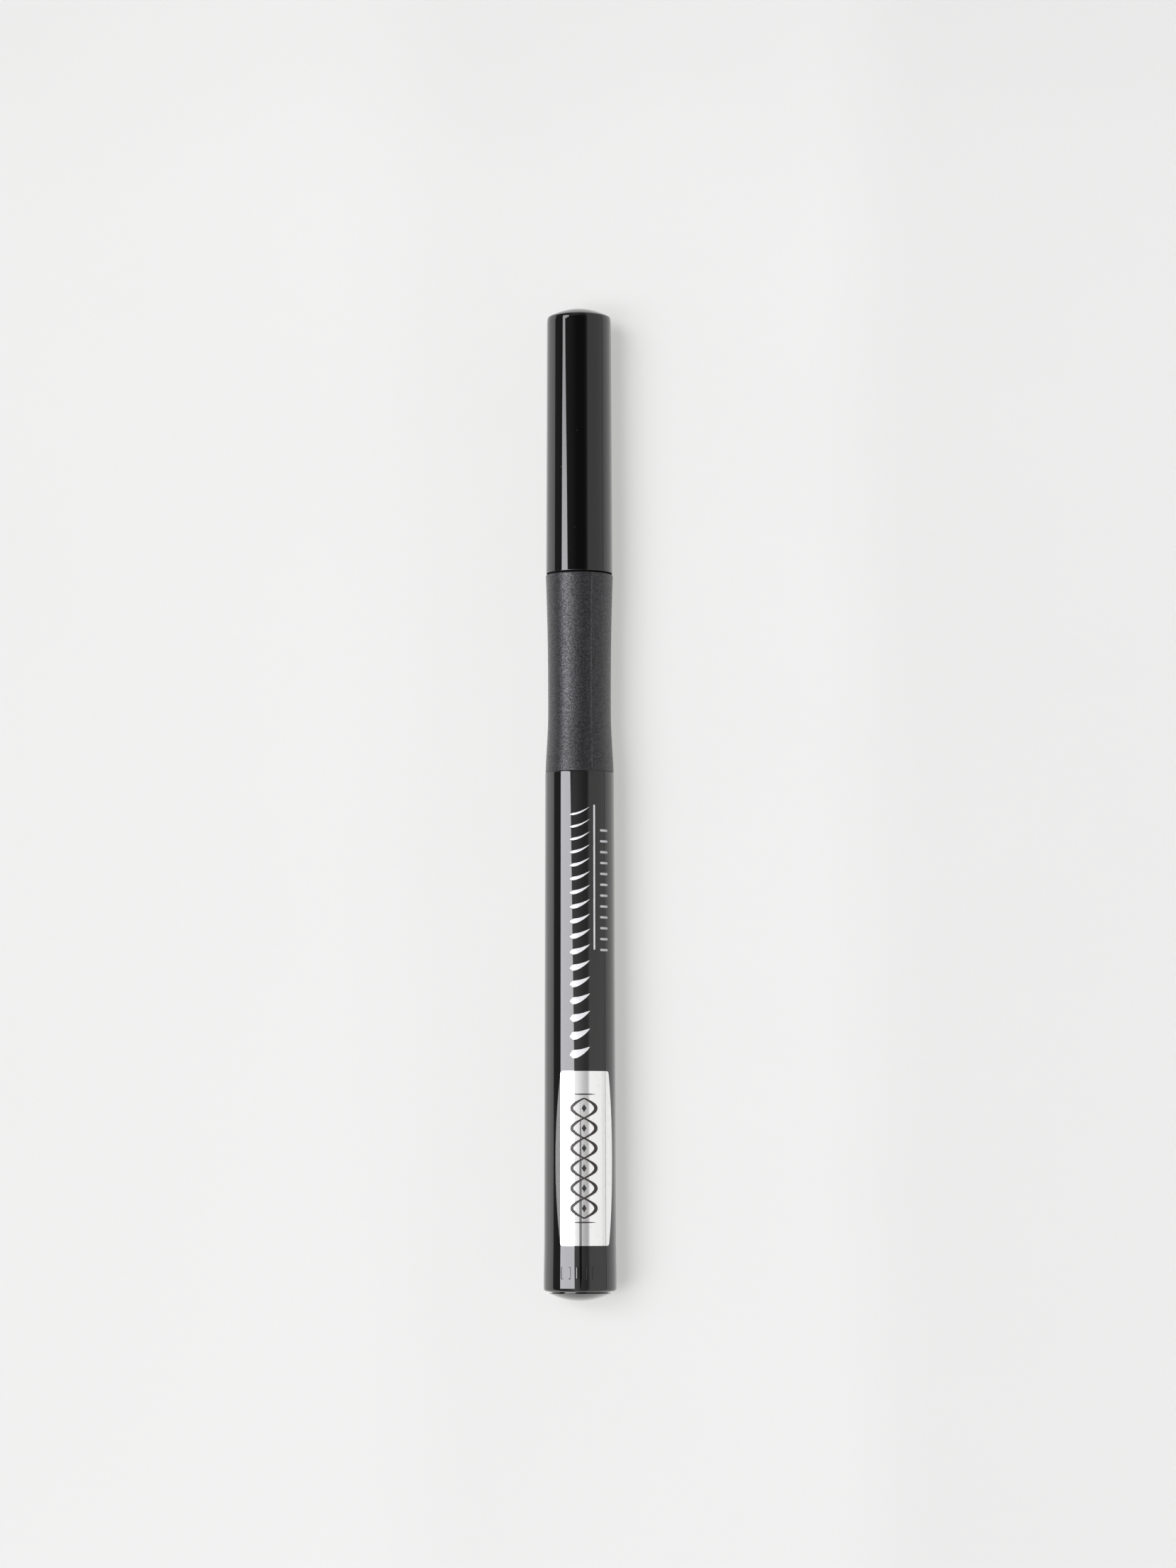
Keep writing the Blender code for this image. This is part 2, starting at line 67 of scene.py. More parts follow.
Pair = tuple[float, float]
Profile = list[Pair]
Corner = tuple[float, float, float]
Colour = tuple[float, float, float]
Relief = Callable[[float, float, float], float]
Faces = list[tuple[int, ...]]
Outline = tuple[tuple[float, ...], ...]
Material, Piece = bpy.types.Material, bpy.types.Object
Tree, Node = bpy.types.NodeTree, bpy.types.Node
Socket, Outputs = bpy.types.NodeSocket, bpy.types.NodeOutputs
Finishes = dict[str, Material]

log = logging.getLogger("eyeliner")


class Body(Enum):
    """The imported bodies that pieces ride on."""

    PEN = "pen"
    NIB = "nib"
    INNER_CAP = "inner_cap"
    SPRING = "spring"
    CAP = "cap"


class StrokeEnd(Enum):
    """How a printed stroke ends."""

    ROUND = "round"
    POINTED = "pointed"


@dataclass(frozen=True)
class Seat:
    """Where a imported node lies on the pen's axis.

    Attributes:
        rear: its lowest station.
        front: its highest station.
        radius: its largest radius.
    """

    rear: float
    front: float
    radius: float

    @classmethod
    def of(cls, node: str) -> "Seat":
        """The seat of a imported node, read from its box."""
        low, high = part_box(node)
        return cls(low.y, high.y, (high.x - low.x) / 2)


def axis_height() -> float:
    """The height of the pen's axis above the floor."""
    low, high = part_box("barrel_tube")
    return (low.z + high.z) / 2


AXIS = axis_height()
SHELL, CUP, SPRING, FRONT, HOLDER, NIB, WICK, GRIP, TUBE, PLUG = (Seat.of(node) for node in (
    "cap_shell", "inner_cap", "inner_cap_spring", "front_section", "nib_holder", "nib_tip", "feed_wick",
    "grip_sleeve", "barrel_tube", "tail_plug"))


def on_axis(radius: float, station: float, angle: float) -> Corner:
    """A point at a radius, station and angle round the pen's axis."""
    return (radius * sin(angle), station, AXIS + radius * cos(angle))


def ease(share: float) -> float:
    """A smooth step from 0 to 1."""
    held = min(max(share, 0.0), 1.0)
    return held * held * (3 - 2 * held)


def spread(start: float, end: float, count: int) -> list[float]:
    """Evenly spaced values from start to end, both included."""
    return [start + (end - start) * i / (count - 1) for i in range(count)]


def rounded(corners: Sequence[Corner], ring: bool = False, steps: int = 6) -> Profile:
    """Rounds the corners of a profile with true arcs.

    Args:
        corners: (radius, station, fillet) of each corner; a fillet of zero leaves it sharp.
        ring: whether the profile closes on itself.
        steps: the number of segments in each arc.

    Returns:
        The rounded profile.
    """
    points: Profile = []
    count = len(corners)
    for i, (radius, station, fillet) in enumerate(corners):
        inside = ring or 0 < i < count - 1
        if fillet <= 0 or not inside:
            points.append((radius, station))
            continue
        here = Vector((radius, station))
        back = Vector(corners[i - 1][:2]) - here
        ahead = Vector(corners[(i + 1) % count][:2]) - here
        half = back.angle(ahead) / 2
        most = 0.48 * min(back.length, ahead.length)
        reach = min(fillet / tan(half), most)
        size = reach * tan(half)
        middle = (back.normalized() + ahead.normalized()).normalized()
        centre = here + middle * size / sin(half)
        start = here + back.normalized() * reach - centre
        end = here + ahead.normalized() * reach - centre
        turn = start.angle_signed(end)
        for k in range(steps + 1):
            spin = -turn * k / steps
            along, across = cos(spin), sin(spin)
            points.append((centre.x + start.x * along - start.y * across,
                           centre.y + start.x * across + start.y * along))
    return points


def arc(centre: Pair, radius: float, start: float, end: float, steps: int) -> Profile:
    """Points on an arc, with angles measured from straight out towards +Y."""
    return [(centre[0] + radius * cos(turn), centre[1] + radius * sin(turn))
            for turn in spread(start, end, steps + 1)]


def held(profile: Profile, ring: bool) -> Profile:
    """Adds points near both ends of every long segment, so that its shading stays even up to its ends.

    Args:
        profile: the outline.
        ring: whether the outline closes on itself.

    Returns:
        The same outline with more points on it.
    """
    near, longest = 0.05 * MM, 4.0 * MM
    ends = list(zip(profile, profile[1:]))
    if ring:
        ends.append((profile[-1], profile[0]))
    points: Profile = []
    for start, end in ends:
        length = dist(start, end)
        shares = [0.0]
        if length > 4 * near:
            count = max(2, ceil(length / longest) + 1)
            shares += spread(near / length, 1 - near / length, count)
        points += [tuple(a + (b - a) * share for a, b in zip(start, end)) for share in shares]
    return points if ring else points + [profile[-1]]


def dome(chord: float, rise: float, base: float, steps: int, way: int = 1) -> Profile:
    """A spherical dome from its pole to its rim.

    Args:
        chord: the dome's radius at its rim.
        rise: how far the pole stands beyond the rim.
        base: the rim's station.
        steps: the number of rings.
        way: 1 where it bulges towards the cap's end, -1 towards the tail.

    Returns:
        The profile, pole first.
    """
    sphere = (chord**2 + rise**2) / (2 * rise)
    reach = asin(chord / sphere)
    turns = spread(0.0, reach, steps + 1)
    return [(sphere * sin(t), base + way * (rise - sphere * (1 - cos(t)))) for t in turns]


def finish_mesh(name: str, points: list, faces: Faces, material: Material,
                sharp: float = 38 * DEGREE) -> Piece:
    """Makes a smooth-shaded object from points and faces, with its faces turned outwards.

    Args:
        name: the piece's name.
        points: the vertices.
        faces: the faces, as vertex indices.
        material: the finish that the piece wears.
        sharp: the angle above which an edge stays sharp.

    Returns:
        The new object, linked into the scene.
    """
    mesh = bpy.data.meshes.new(name)
    mesh.from_pydata(points, [], faces)
    mesh.update()
    shape = bmesh.new()
    shape.from_mesh(mesh)
    bmesh.ops.recalc_face_normals(shape, faces=shape.faces)
    shape.to_mesh(mesh)
    shape.free()
    mesh.shade_smooth()
    mesh.set_sharp_from_angle(angle=sharp)
    mesh.materials.append(material)
    piece = bpy.data.objects.new(name, mesh)
    bpy.context.scene.collection.objects.link(piece)
    return piece


def declare(piece: Piece, node: str | None = None) -> None:
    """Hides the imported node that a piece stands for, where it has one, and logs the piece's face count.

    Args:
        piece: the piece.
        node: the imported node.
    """
    if node:
        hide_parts(node)
    log.info("%s: %d faces", piece.name, len(piece.data.polygons))


def bend(piece: Piece) -> None:
    """Bakes a piece's placement into its mesh.

    Args:
        piece: the piece.
    """
    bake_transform(piece)


@dataclass
class Turning:
    """A profile turned about the pen's axis.

    Attributes:
        profile: the outline; an open one starts and ends on the axis.
        ring: whether the outline closes on itself.
        steps: the number of even steps round the pen.
        relief: a radial offset by angle, station and radius, for what stands proud of the round.
        extra_angles: more angles, where the relief needs them.
    """

    profile: Profile
    ring: bool = False
    steps: int = 160
    relief: Relief | None = None
    extra_angles: Sequence[float] = ()

    def angles(self) -> list[float]:
        """Every angle that the profile is set at, in order.

        Returns:
            The angles.
        """
        even = [tau * i / self.steps for i in range(self.steps)]
        more = [angle % tau for angle in self.extra_angles]
        nearest = tau / self.steps / 4
        kept = [a for a in even if all(abs(a - b) > nearest for b in more)]
        return sorted(kept + more)

    def build(self, name: str, material: Material) -> Piece:
        """Turns the profile into a closed mesh.

        Args:
            name: the piece's name.
            material: the finish that it wears.

        Returns:
            The piece.
        """
        angles = self.angles()
        round_count = len(angles)
        points: list = []
        rows: list[list[int]] = []
        for radius, station in held(self.profile, self.ring):
            if radius <= 0:
                rows.append([len(points)])
                points.append(on_axis(0.0, station, 0.0))
                continue
            rows.append(list(range(len(points), len(points) + round_count)))
            for angle in angles:
                proud = self.relief(angle, station, radius) if self.relief else 0.0
                points.append(on_axis(radius + proud, station, angle))
        pairs = list(zip(rows, rows[1:]))
        if self.ring:
            pairs.append((rows[-1], rows[0]))
        faces: Faces = []
        for upper, lower in pairs:
            for i in range(round_count):
                after = (i + 1) % round_count
                if len(upper) == 1:
                    faces.append((upper[0], lower[i], lower[after]))
                elif len(lower) == 1:
                    faces.append((upper[i], upper[after], lower[0]))
                else:
                    faces.append((upper[i], upper[after], lower[after], lower[i]))
        return finish_mesh(name, points, faces, material)

    def seat(self, name: str, finishes: Finishes, slot: str, node: str, body: Body = Body.PEN) -> None:
        """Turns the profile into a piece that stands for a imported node, and seats it on its body.

        Args:
            name: the piece's name.
            finishes: the finishes by name.
            slot: the material slot and the finish of the same name.
            node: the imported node.
            body: the body that it rides on.
        """
        piece = self.build(name, finishes[slot])
        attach(piece, body.value)
        declare(piece, node)


def swept_tube(name: str, path: Sequence[Vector], radius: float, sides: int,
               material: Material) -> Piece:
    """Sweeps a round wire along a path and closes its ends.

    Args:
        name: the piece's name.
        path: the points that the wire follows.
        radius: the wire's radius.
        sides: the number of sides of the wire.
        material: the finish that it wears.

    Returns:
        The piece.
    """
    points: list = []
    faces: Faces = []
    across = Vector((0.0, 1.0, 0.0))
    for i, here in enumerate(path):
        along = (path[min(i + 1, len(path) - 1)] - path[max(i - 1, 0)]).normalized()
        across = (across - along * across.dot(along)).normalized()
        beside = along.cross(across)
        for k in range(sides):
            turn = tau * k / sides
            points.append(here + radius * (across * cos(turn) + beside * sin(turn)))
    for i in range(len(path) - 1):
        for k in range(sides):
            after = (k + 1) % sides
            low, high = i * sides, (i + 1) * sides
            faces.append((low + k, low + after, high + after, high + k))
    faces.append(tuple(range(sides)))
    faces.append(tuple(range((len(path) - 1) * sides, len(path) * sides)))
    return finish_mesh(name, points, faces, material, 60 * DEGREE)


@dataclass(frozen=True)
class Span:
    """A range over which a value is eased from one level to another.

    Attributes:
        low: where the change starts.
        high: where it ends.
        before: the level at its start.
        after: the level at its end.
    """

    low: float
    high: float
    before: float = 0.0
    after: float = 1.0


class Net:
    """A node tree with short calls for adding nodes and feeding their sockets."""

    def __init__(self, tree: Tree) -> None:
        """Starts from a node tree, which it doesn't clear."""
        self.tree = tree

    def feed(self, socket: Socket, value: object) -> None:
        """Links a socket, or sets its value.

        Args:
            socket: the socket.
            value: what feeds it, as a socket or a plain value.
        """
        if isinstance(value, Socket):
            self.tree.links.new(value, socket)
        else:
            socket.default_value = value

    def node(self, kind: str, settings: dict | None = None, inputs: dict | None = None) -> Node:
        """Adds a node.

        Args:
            kind: the node's type, without the ShaderNode that most types start with.
            settings: its properties by name.
            inputs: its inputs by name or number, as sockets or plain values.

        Returns:
            The node.
        """
        made = self.tree.nodes.new(kind if kind.startswith("NodeGroup") else "ShaderNode" + kind)
        for name, value in (settings or {}).items():
            setattr(made, name, value)
        for name, value in (inputs or {}).items():
            self.feed(made.inputs[name], value)
        return made

    def maths(self, operation: str, *values: object) -> Socket:
        """One step of arithmetic, and its result."""
        return self.node("Math", {"operation": operation}, dict(enumerate(values))).outputs[0]

    def times(self, *values: object) -> Socket:
        """Two or more values multiplied."""
        return reduce(lambda first, second: self.maths("MULTIPLY", first, second), values)

    def plus(self, *values: object) -> Socket:
        """Two or more values added."""
        return reduce(lambda first, second: self.maths("ADD", first, second), values)

    def ramp(self, value: object, low: object, high: object, to_low: object = 0.0,
             to_high: object = 1.0) -> Socket:
        """A value eased from one range into another."""
        inputs = {"Value": value, "From Min": low, "From Max": high, "To Min": to_low, "To Max": to_high}
        return self.node("MapRange", {"interpolation_type": "SMOOTHSTEP"}, inputs).outputs[0]

    def eased(self, value: object, span: Span) -> Socket:
        """The level that a span has at a value."""
        return self.ramp(value, span.low, span.high, span.before, span.after)

    def mix(self, factor: object, first: object, second: object) -> Socket:
        """Two colours mixed by a factor.

        Args:
            factor: the share of the second.
            first: one colour.
            second: the other.

        Returns:
            The result.
        """
        made = self.node("Mix", {"data_type": "RGBA"})
        self.feed(made.inputs[0], factor)
        for socket, value in ((made.inputs[6], first), (made.inputs[7], second)):
            self.feed(socket, value if isinstance(value, Socket) else (*value, 1.0))
        return made.outputs[2]

    def blend(self, factor: object, first: object, second: object) -> Socket:
        """Two values mixed by a factor."""
        return self.node("Mix", None, {0: factor, 2: first, 3: second}).outputs[0]

    def noise(self, vector: object, scale: object, detail: float = 2.0) -> Socket:
        """Smooth noise over a vector, from about 0.2 to 0.8."""
        inputs = {"Vector": vector, "Scale": scale, "Detail": detail}
        return self.node("TexNoise", None, inputs).outputs["Fac"]

    def cells(self, scale: object) -> Outputs:
        """Cells over the piece, with the distance from each one's middle and a colour drawn for each."""
        return self.node("TexVoronoi", {"feature": "F1"}, {"Vector": self.place(), "Scale": scale}).outputs

    def place(self) -> Socket:
        """The place on the piece, in metres."""
        return self.node("TexCoord").outputs["Object"]

    def split(self, vector: Socket) -> Outputs:
        """The X, Y and Z of a vector."""
        return self.node("SeparateXYZ", None, {0: vector}).outputs

    def stretched(self, scale: Sequence[float], turn: float = 0.0) -> Socket:
        """The place on the piece, turned about Y and Z and scaled unevenly along X, Y and Z."""
        inputs = {"Vector": self.place(), "Rotation": (0.0, turn, turn), "Scale": tuple(scale)}
        return self.node("Mapping", None, inputs).outputs[0]

    def group(self, tree: Tree, inputs: dict) -> Outputs:
        """Places a shared effect with its own values, and gives its outputs.

        Args:
            tree: the effect's tree.
            inputs: its inputs by name.

        Returns:
            Its outputs.
        """
        made = self.node("Group", {"node_tree": tree})
        for name, value in inputs.items():
            self.feed(made.inputs[name], value)
        return made.outputs


class EffectGroups:
    """The effects that several finishes share, each built once as a shader node group."""

    def __init__(self) -> None:
        """Builds every group."""
        self.grain = self._build_grain()
        self.scuffs = self._build_scuffs()
        self.dust = self._build_dust()
        self.edge = self._build_edge()
        self.fibres = self._build_fibres()

    def _start(self, name: str, inputs: dict[str, float]) -> tuple[Net, Outputs]:
        """Starts a group.

        Args:
            name: the group's name.
            inputs: its inputs and their usual values.

        Returns:
            Its net and its input sockets.
        """
        tree = bpy.data.node_groups.new(name, "ShaderNodeTree")
        for title, usual in inputs.items():
            socket = tree.interface.new_socket(name=title, in_out="INPUT", socket_type="NodeSocketFloat")
            socket.default_value = usual
        net = Net(tree)
        return net, net.node("NodeGroupInput").outputs

    def _end(self, net: Net, results: dict[str, Socket]) -> Tree:
        """Ends a group.

        Args:
            net: its node tree.
            results: its outputs by name, all plain values.

        Returns:
            The group's tree.
        """
        for title in results:
            net.tree.interface.new_socket(name=title, in_out="OUTPUT", socket_type="NodeSocketFloat")
        net.node("NodeGroupOutput", None, results)
        return net.tree

    def _build_grain(self) -> Tree:
        """Fine moulded grain: a height, and a mask of its brightest grains.

        Returns:
            The group's tree.
        """
        net, given = self._start("Moulded grain", {"Scale": 6000.0, "Sparse": 0.6})
        cell_scale, cell_depth, slow_scale = 0.6, 0.35, 0.03
        fine = net.noise(net.place(), given["Scale"], 3.0)
        cells = net.cells(net.times(given["Scale"], cell_scale))
        chance = net.node("SeparateColor", None, {0: cells["Color"]}).outputs[0]
        return self._end(net, {
            "Height": net.maths("SUBTRACT", fine, net.times(cells["Distance"], cell_depth)),
            "Bright Grains": net.ramp(chance, given["Sparse"], 1.0),
            "Tone": net.noise(net.place(), net.times(given["Scale"], slow_scale)),
        })

    def _build_scuffs(self) -> Tree:
        """Hairlines of handling: long along the pen, with a few across, where a slow noise lets them.

        Returns:
            The group's tree.
        """
        net, given = self._start("Handling scuffs", {"Scale": 900.0, "Amount": 0.5})
        slow = net.ramp(net.noise(net.place(), 260.0), 0.42, 0.68)
        scale = net.times(given["Scale"], 6.0)
        ways = (((1.0, 0.03, 1.0), 0.10), ((0.05, 1.0, 0.05), 0.35))
        lines = [net.ramp(net.noise(net.stretched(stretch, turn), scale, 1.0), 0.66, 0.72)
                 for stretch, turn in ways]
        mask = net.times(net.maths("MAXIMUM", *lines), slow, given["Amount"])
        return self._end(net, {"Mask": mask})

    def _build_dust(self) -> Tree:
        """Sparse dust specks, each a small round mask.

        Returns:
            The group's tree.
        """
        net, given = self._start("Dust specks", {"Scale": 900.0, "Share": 0.03})
        cells = net.cells(given["Scale"])
        chance = net.node("SeparateColor", None, {0: cells["Color"]}).outputs[1]
        chosen = net.maths("LESS_THAN", chance, given["Share"])
        disc = net.ramp(cells["Distance"], 0.02, 0.10, 1.0, 0.0)
        return self._end(net, {"Mask": net.times(chosen, disc)})

    def _build_edge(self) -> Tree:
        """Wear in a band about one station of the pen, broken up by noise.

        Returns:
            The group's tree.
        """
        net, given = self._start("Edge wear", {"Station": 0.0, "Width": 0.3 * MM})
        station = net.split(net.place())["Y"]
        away = net.maths("ABSOLUTE", net.maths("SUBTRACT", station, given["Station"]))
        band = net.ramp(away, 0.0, given["Width"], 1.0, 0.0)
        broken = net.ramp(net.noise(net.place(), 2600.0, 3.0), 0.40, 0.66)
        return self._end(net, {"Mask": net.times(band, broken)})

    def _build_fibres(self) -> Tree:
        """Fibres that run along the pen: a height and a tone.

        Returns:
            The group's tree.
        """
        net, given = self._start("Fibre bundle", {"Scale": 9000.0})
        drawn = net.noise(net.stretched((1.0, 0.06, 1.0)), given["Scale"])
        return self._end(net, {"Height": drawn, "Tone": net.ramp(drawn, 0.3, 0.7)})


@dataclass(frozen=True)
class Finish:
    """What every finish has.

    Attributes:
        name: the material's name.
        colour: its plain colour.
        roughness: its plain roughness.
        ior: its index of refraction.
        metallic: how metallic it is.
    """

    name: str
    colour: Colour
    roughness: float
    ior: float = 1.5
    metallic: float = 0.0

    def start(self, **more: object) -> tuple[Material, Net, Node]:
        """Starts the material.

        Args:
            more: more plain values, by the shader's inputs with _ for each space.

        Returns:
            The material, its node tree, and its shader with the plain values set.
        """
        material = bpy.data.materials.new(self.name)
        material.use_nodes = True
        shader = material.node_tree.nodes["Principled BSDF"]
        plain = {"Base_Color": (*self.colour, 1.0), "Roughness": self.roughness, "IOR": self.ior,
                 "Metallic": self.metallic}
        for name, value in (plain | more).items():
            shader.inputs[name.replace("_", " ")].default_value = value
        return material, Net(material.node_tree), shader

    def scaled(self, share: float) -> Colour:
        """The plain colour, made lighter or darker by one share."""
        red, green, blue = (min(part * share, 1.0) for part in self.colour)
        return (red, green, blue)

    def varied(self, net: Net, tone: Socket, darkest: float, palest: float) -> Socket:
        """The plain colour, varied by a tone between two shares of itself."""
        return net.mix(tone, self.scaled(darkest), self.scaled(palest))

    def roughened(self, net: Net, mask: Socket, more: float) -> Socket:
        """The plain roughness, with more of it where a mask is full."""
        return net.maths("MULTIPLY_ADD", mask, more, self.roughness)

    def dress(self, net: Net, shader: Node, colour: Socket, rough: Socket,
              height: Socket | None = None, depth: float = 0.0) -> None:
        """Feeds what varies over the surface to the shader.

        Args:
            net: the material's node tree.
            shader: its shader.
            colour: the colour.
            rough: the roughness.
            height: the height of a fine relief, where there is one.
            depth: that relief's depth.
        """
        net.feed(shader.inputs["Base Color"], colour)
        net.feed(shader.inputs["Roughness"], rough)
        if height is not None:
            bump = net.node("Bump", None, {"Strength": 1.0, "Distance": depth, "Height": height})
            net.feed(shader.inputs["Normal"], bump.outputs[0])


@dataclass(frozen=True)
class GlossPlastic(Finish):
    """Polished moulded plastic: a slow waviness, hairline scuffs, specks of dust and worn edges.

    A clear lacquer of the same index lies over it, which makes its grazing reflections stronger.

    Attributes:
        waviness: the depth of the slow waves in the polish.
        scuff: how much rougher a scuff is.
        edges: the stations of the edges that wear.
        tint: the tint of its reflections.
        dust: the colour of the dust.
    """

    waviness: float = 0.0012 * MM
    scuff: float = 0.10
    edges: tuple[float, ...] = ()
    tint: Colour = (1.0, 1.0, 1.0)
    dust: Colour = (0.30, 0.29, 0.27)

    def material(self, effects: EffectGroups) -> Material:
        """Builds the material.

        Args:
            effects: the shared effects.

        Returns:
            The material.
        """
        material, net, shader = self.start(Specular_Tint=(*self.tint, 1.0), Coat_Weight=1.0,
                                           Coat_IOR=self.ior, Coat_Roughness=self.roughness)
        scuffs = net.group(effects.scuffs, {"Scale": 900.0, "Amount": 0.5})["Mask"]
        dust = net.group(effects.dust, {"Scale": 1400.0, "Share": 0.035})["Mask"]
        colour = self.varied(net, net.noise(net.place(), 180.0), 0.85, 1.15)
        rough = self.roughened(net, scuffs, self.scuff)
        bands = [net.group(effects.edge, {"Station": station, "Width": 0.35 * MM})["Mask"]
                 for station in self.edges]
        if bands:
            worn = reduce(lambda first, second: net.maths("MAXIMUM", first, second), bands)
            colour = net.mix(net.times(worn, 0.5), colour, self.scaled(3.0))
            rough = net.plus(rough, net.times(worn, 0.08))
        colour = net.mix(net.times(dust, 0.35), colour, self.dust)
        rough = net.plus(rough, net.times(dust, 0.4))
        waves = net.noise(net.stretched((1.0, 0.35, 1.0)), 520.0, 1.0)
        self.dress(net, shader, colour, rough, waves, self.waviness)
        return material


@dataclass(frozen=True)
class GripPlastic(Finish):
    """Spark-eroded matte plastic with a fine even grain whose brightest grains catch the light.

    Attributes:
        grain: the scale of the grain.
        depth: the depth of the grain.
        sheen: the soft haze at grazing angles.
        flakes: how much more the glossy grains mirror than the others.
        edges: the stations of the edges that wear.
    """

    grain: float = 4300.0
    depth: float = 0.026 * MM
    sheen: float = 0.36
    flakes: float = 0.40
    edges: tuple[float, ...] = ()

    def material(self, effects: EffectGroups) -> Material:
        """Builds the material.

        Args:
            effects: the shared effects.

        Returns:
            The material.
        """
        material, net, shader = self.start(Coat_Roughness=self.roughness, Coat_IOR=1.5,
                                           Sheen_Weight=self.sheen, Sheen_Roughness=0.5)
        grain = net.group(effects.grain, {"Scale": self.grain, "Sparse": 0.72})
        speck = net.ramp(net.noise(net.place(), self.grain), 0.44, 0.60)
        net.feed(shader.inputs["Coat Weight"], net.times(speck, self.flakes))
        colour = self.varied(net, net.ramp(grain["Tone"], 0.3, 0.7), 0.90, 1.10)
        colour = net.mix(speck, self.scaled(0.45), net.mix(0.5, colour, self.scaled(2.3)))
        colour = net.mix(net.times(grain["Bright Grains"], 0.7), colour, self.scaled(2.8))
        matt = net.ramp(net.noise(net.place(), 1.3 * self.grain), 0.38, 0.60)
        rough = self.roughened(net, matt, 0.20)
        for station in self.edges:
            worn = net.group(effects.edge, {"Station": station, "Width": 0.40 * MM})["Mask"]
            colour = net.mix(net.times(worn, 0.35), colour, self.scaled(2.0))
            rough = net.maths("SUBTRACT", rough, net.times(worn, 0.08))
        self.dress(net, shader, colour, rough, grain["Height"], self.depth)
        return material


@dataclass(frozen=True)
class MouldedPlastic(Finish):
    """Plain moulded plastic with a faint grain and a soft sheen.

    Attributes:
        grain: the scale of the grain.
        depth: the depth of the grain.
        glow: how much light scatters inside it, as in natural unfilled plastic.
    """

    grain: float = 3200.0
    depth: float = 0.004 * MM
    glow: float = 0.0

    def material(self, effects: EffectGroups) -> Material:
        """Builds the material.

        Args:
            effects: the shared effects.

        Returns:
            The material.
        """
        inside = {"Subsurface_Weight": self.glow, "Subsurface_Radius": (0.9, 0.9, 0.8),
                  "Subsurface_Scale": 0.6 * MM}
        material, net, shader = self.start(**(inside if self.glow > 0 else {}))
        grain = net.group(effects.grain, {"Scale": self.grain, "Sparse": 0.8})
        colour = self.varied(net, net.ramp(grain["Tone"], 0.3, 0.7), 0.92, 1.06)
        rough = self.roughened(net, grain["Tone"], 0.12)
        self.dress(net, shader, colour, rough, grain["Height"], self.depth)
        return material


@dataclass(frozen=True)
class FibrePack(Finish):
    """Bonded fibres that run along the pen, soaked with liquid.

    Attributes:
        scale: the scale of the fibres.
        depth: the depth of the furrows between them.
    """

    scale: float = 9000.0
    depth: float = 0.03 * MM

    def material(self, effects: EffectGroups) -> Material:
        """Builds the material.

        Args:
            effects: the shared effects.

        Returns:
            The material.
        """
        material, net, shader = self.start()
        fibres = net.group(effects.fibres, {"Scale": self.scale})
        colour = self.varied(net, fibres["Tone"], 0.6, 1.6)
        rough = self.roughened(net, fibres["Tone"], 0.18)
        self.dress(net, shader, colour, rough, fibres["Height"], self.depth)
        return material


@dataclass(frozen=True)
class DrawnSteel(Finish):
    """Drawn spring wire with fine die lines and a faint tarnish.

    Attributes:
        tarnish: the colour of the tarnish.
        depth: the depth of the die lines.
    """

    tarnish: Colour = (0.42, 0.39, 0.35)
    depth: float = 0.003 * MM

    def material(self, effects: EffectGroups) -> Material:
        """Builds the material.

        Args:
            effects: the shared effects.

        Returns:
            The material.
        """
        material, net, shader = self.start()
        grain = net.group(effects.grain, {"Scale": 5200.0, "Sparse": 0.7})
        dull = net.ramp(net.noise(net.place(), 700.0, 3.0), 0.35, 0.7)
        colour = net.mix(dull, self.colour, self.tarnish)
        self.dress(net, shader, colour, self.roughened(net, dull, 0.14), grain["Height"], self.depth)
        return material


@dataclass(frozen=True)
class ThinLayer(Finish):
    """A film of ink or foil on the plastic, with a fine stipple.

    Attributes:
        thin: the colour of its thinnest spots.
        grain: the scale of the stipple.
        sparse: how few spots are thin, from 0 to 1.
        thinned: how far a thin spot takes on that colour.
        scuff: how much rougher a scuff is; an unscuffed layer is dulled by its own tone instead.
        dulled: how much rougher its palest tone is.
        depth: the depth of the stipple.
    """

    thin: Colour = (0.5, 0.5, 0.5)
    grain: float = 9000.0
    sparse: float = 0.93
    thinned: float = 0.35
    scuff: float = 0.0
    dulled: float = 0.15
    depth: float = 0.0015 * MM

    def material(self, effects: EffectGroups) -> Material:
        """Builds the material.

        Args:
            effects: the shared effects.

        Returns:
            The material.
        """
        material, net, shader = self.start()
        grain = net.group(effects.grain, {"Scale": self.grain, "Sparse": self.sparse})
        colour = net.mix(net.times(grain["Bright Grains"], self.thinned), self.colour, self.thin)
        if self.scuff > 0:
            scuffs = net.group(effects.scuffs, {"Scale": 900.0, "Amount": 0.6})["Mask"]
            rough = self.roughened(net, scuffs, self.scuff)
        else:
            rough = self.roughened(net, grain["Tone"], self.dulled)
        self.dress(net, shader, colour, rough, grain["Height"], self.depth)
        return material


@dataclass(frozen=True)
class ClearFilm(Finish):
    """The thin film round the reservoir, cloudy with handling."""

    def material(self, effects: EffectGroups) -> Material:
        """Builds the material.

        Args:
            effects: the shared effects.

        Returns:
            The material.
        """
        material, net, shader = self.start()
        scuffs = net.group(effects.scuffs, {"Scale": 700.0, "Amount": 1.0})["Mask"]
        colour = self.varied(net, scuffs, 1.0, 0.9)
        self.dress(net, shader, colour, self.roughened(net, scuffs, 0.3))
        return material


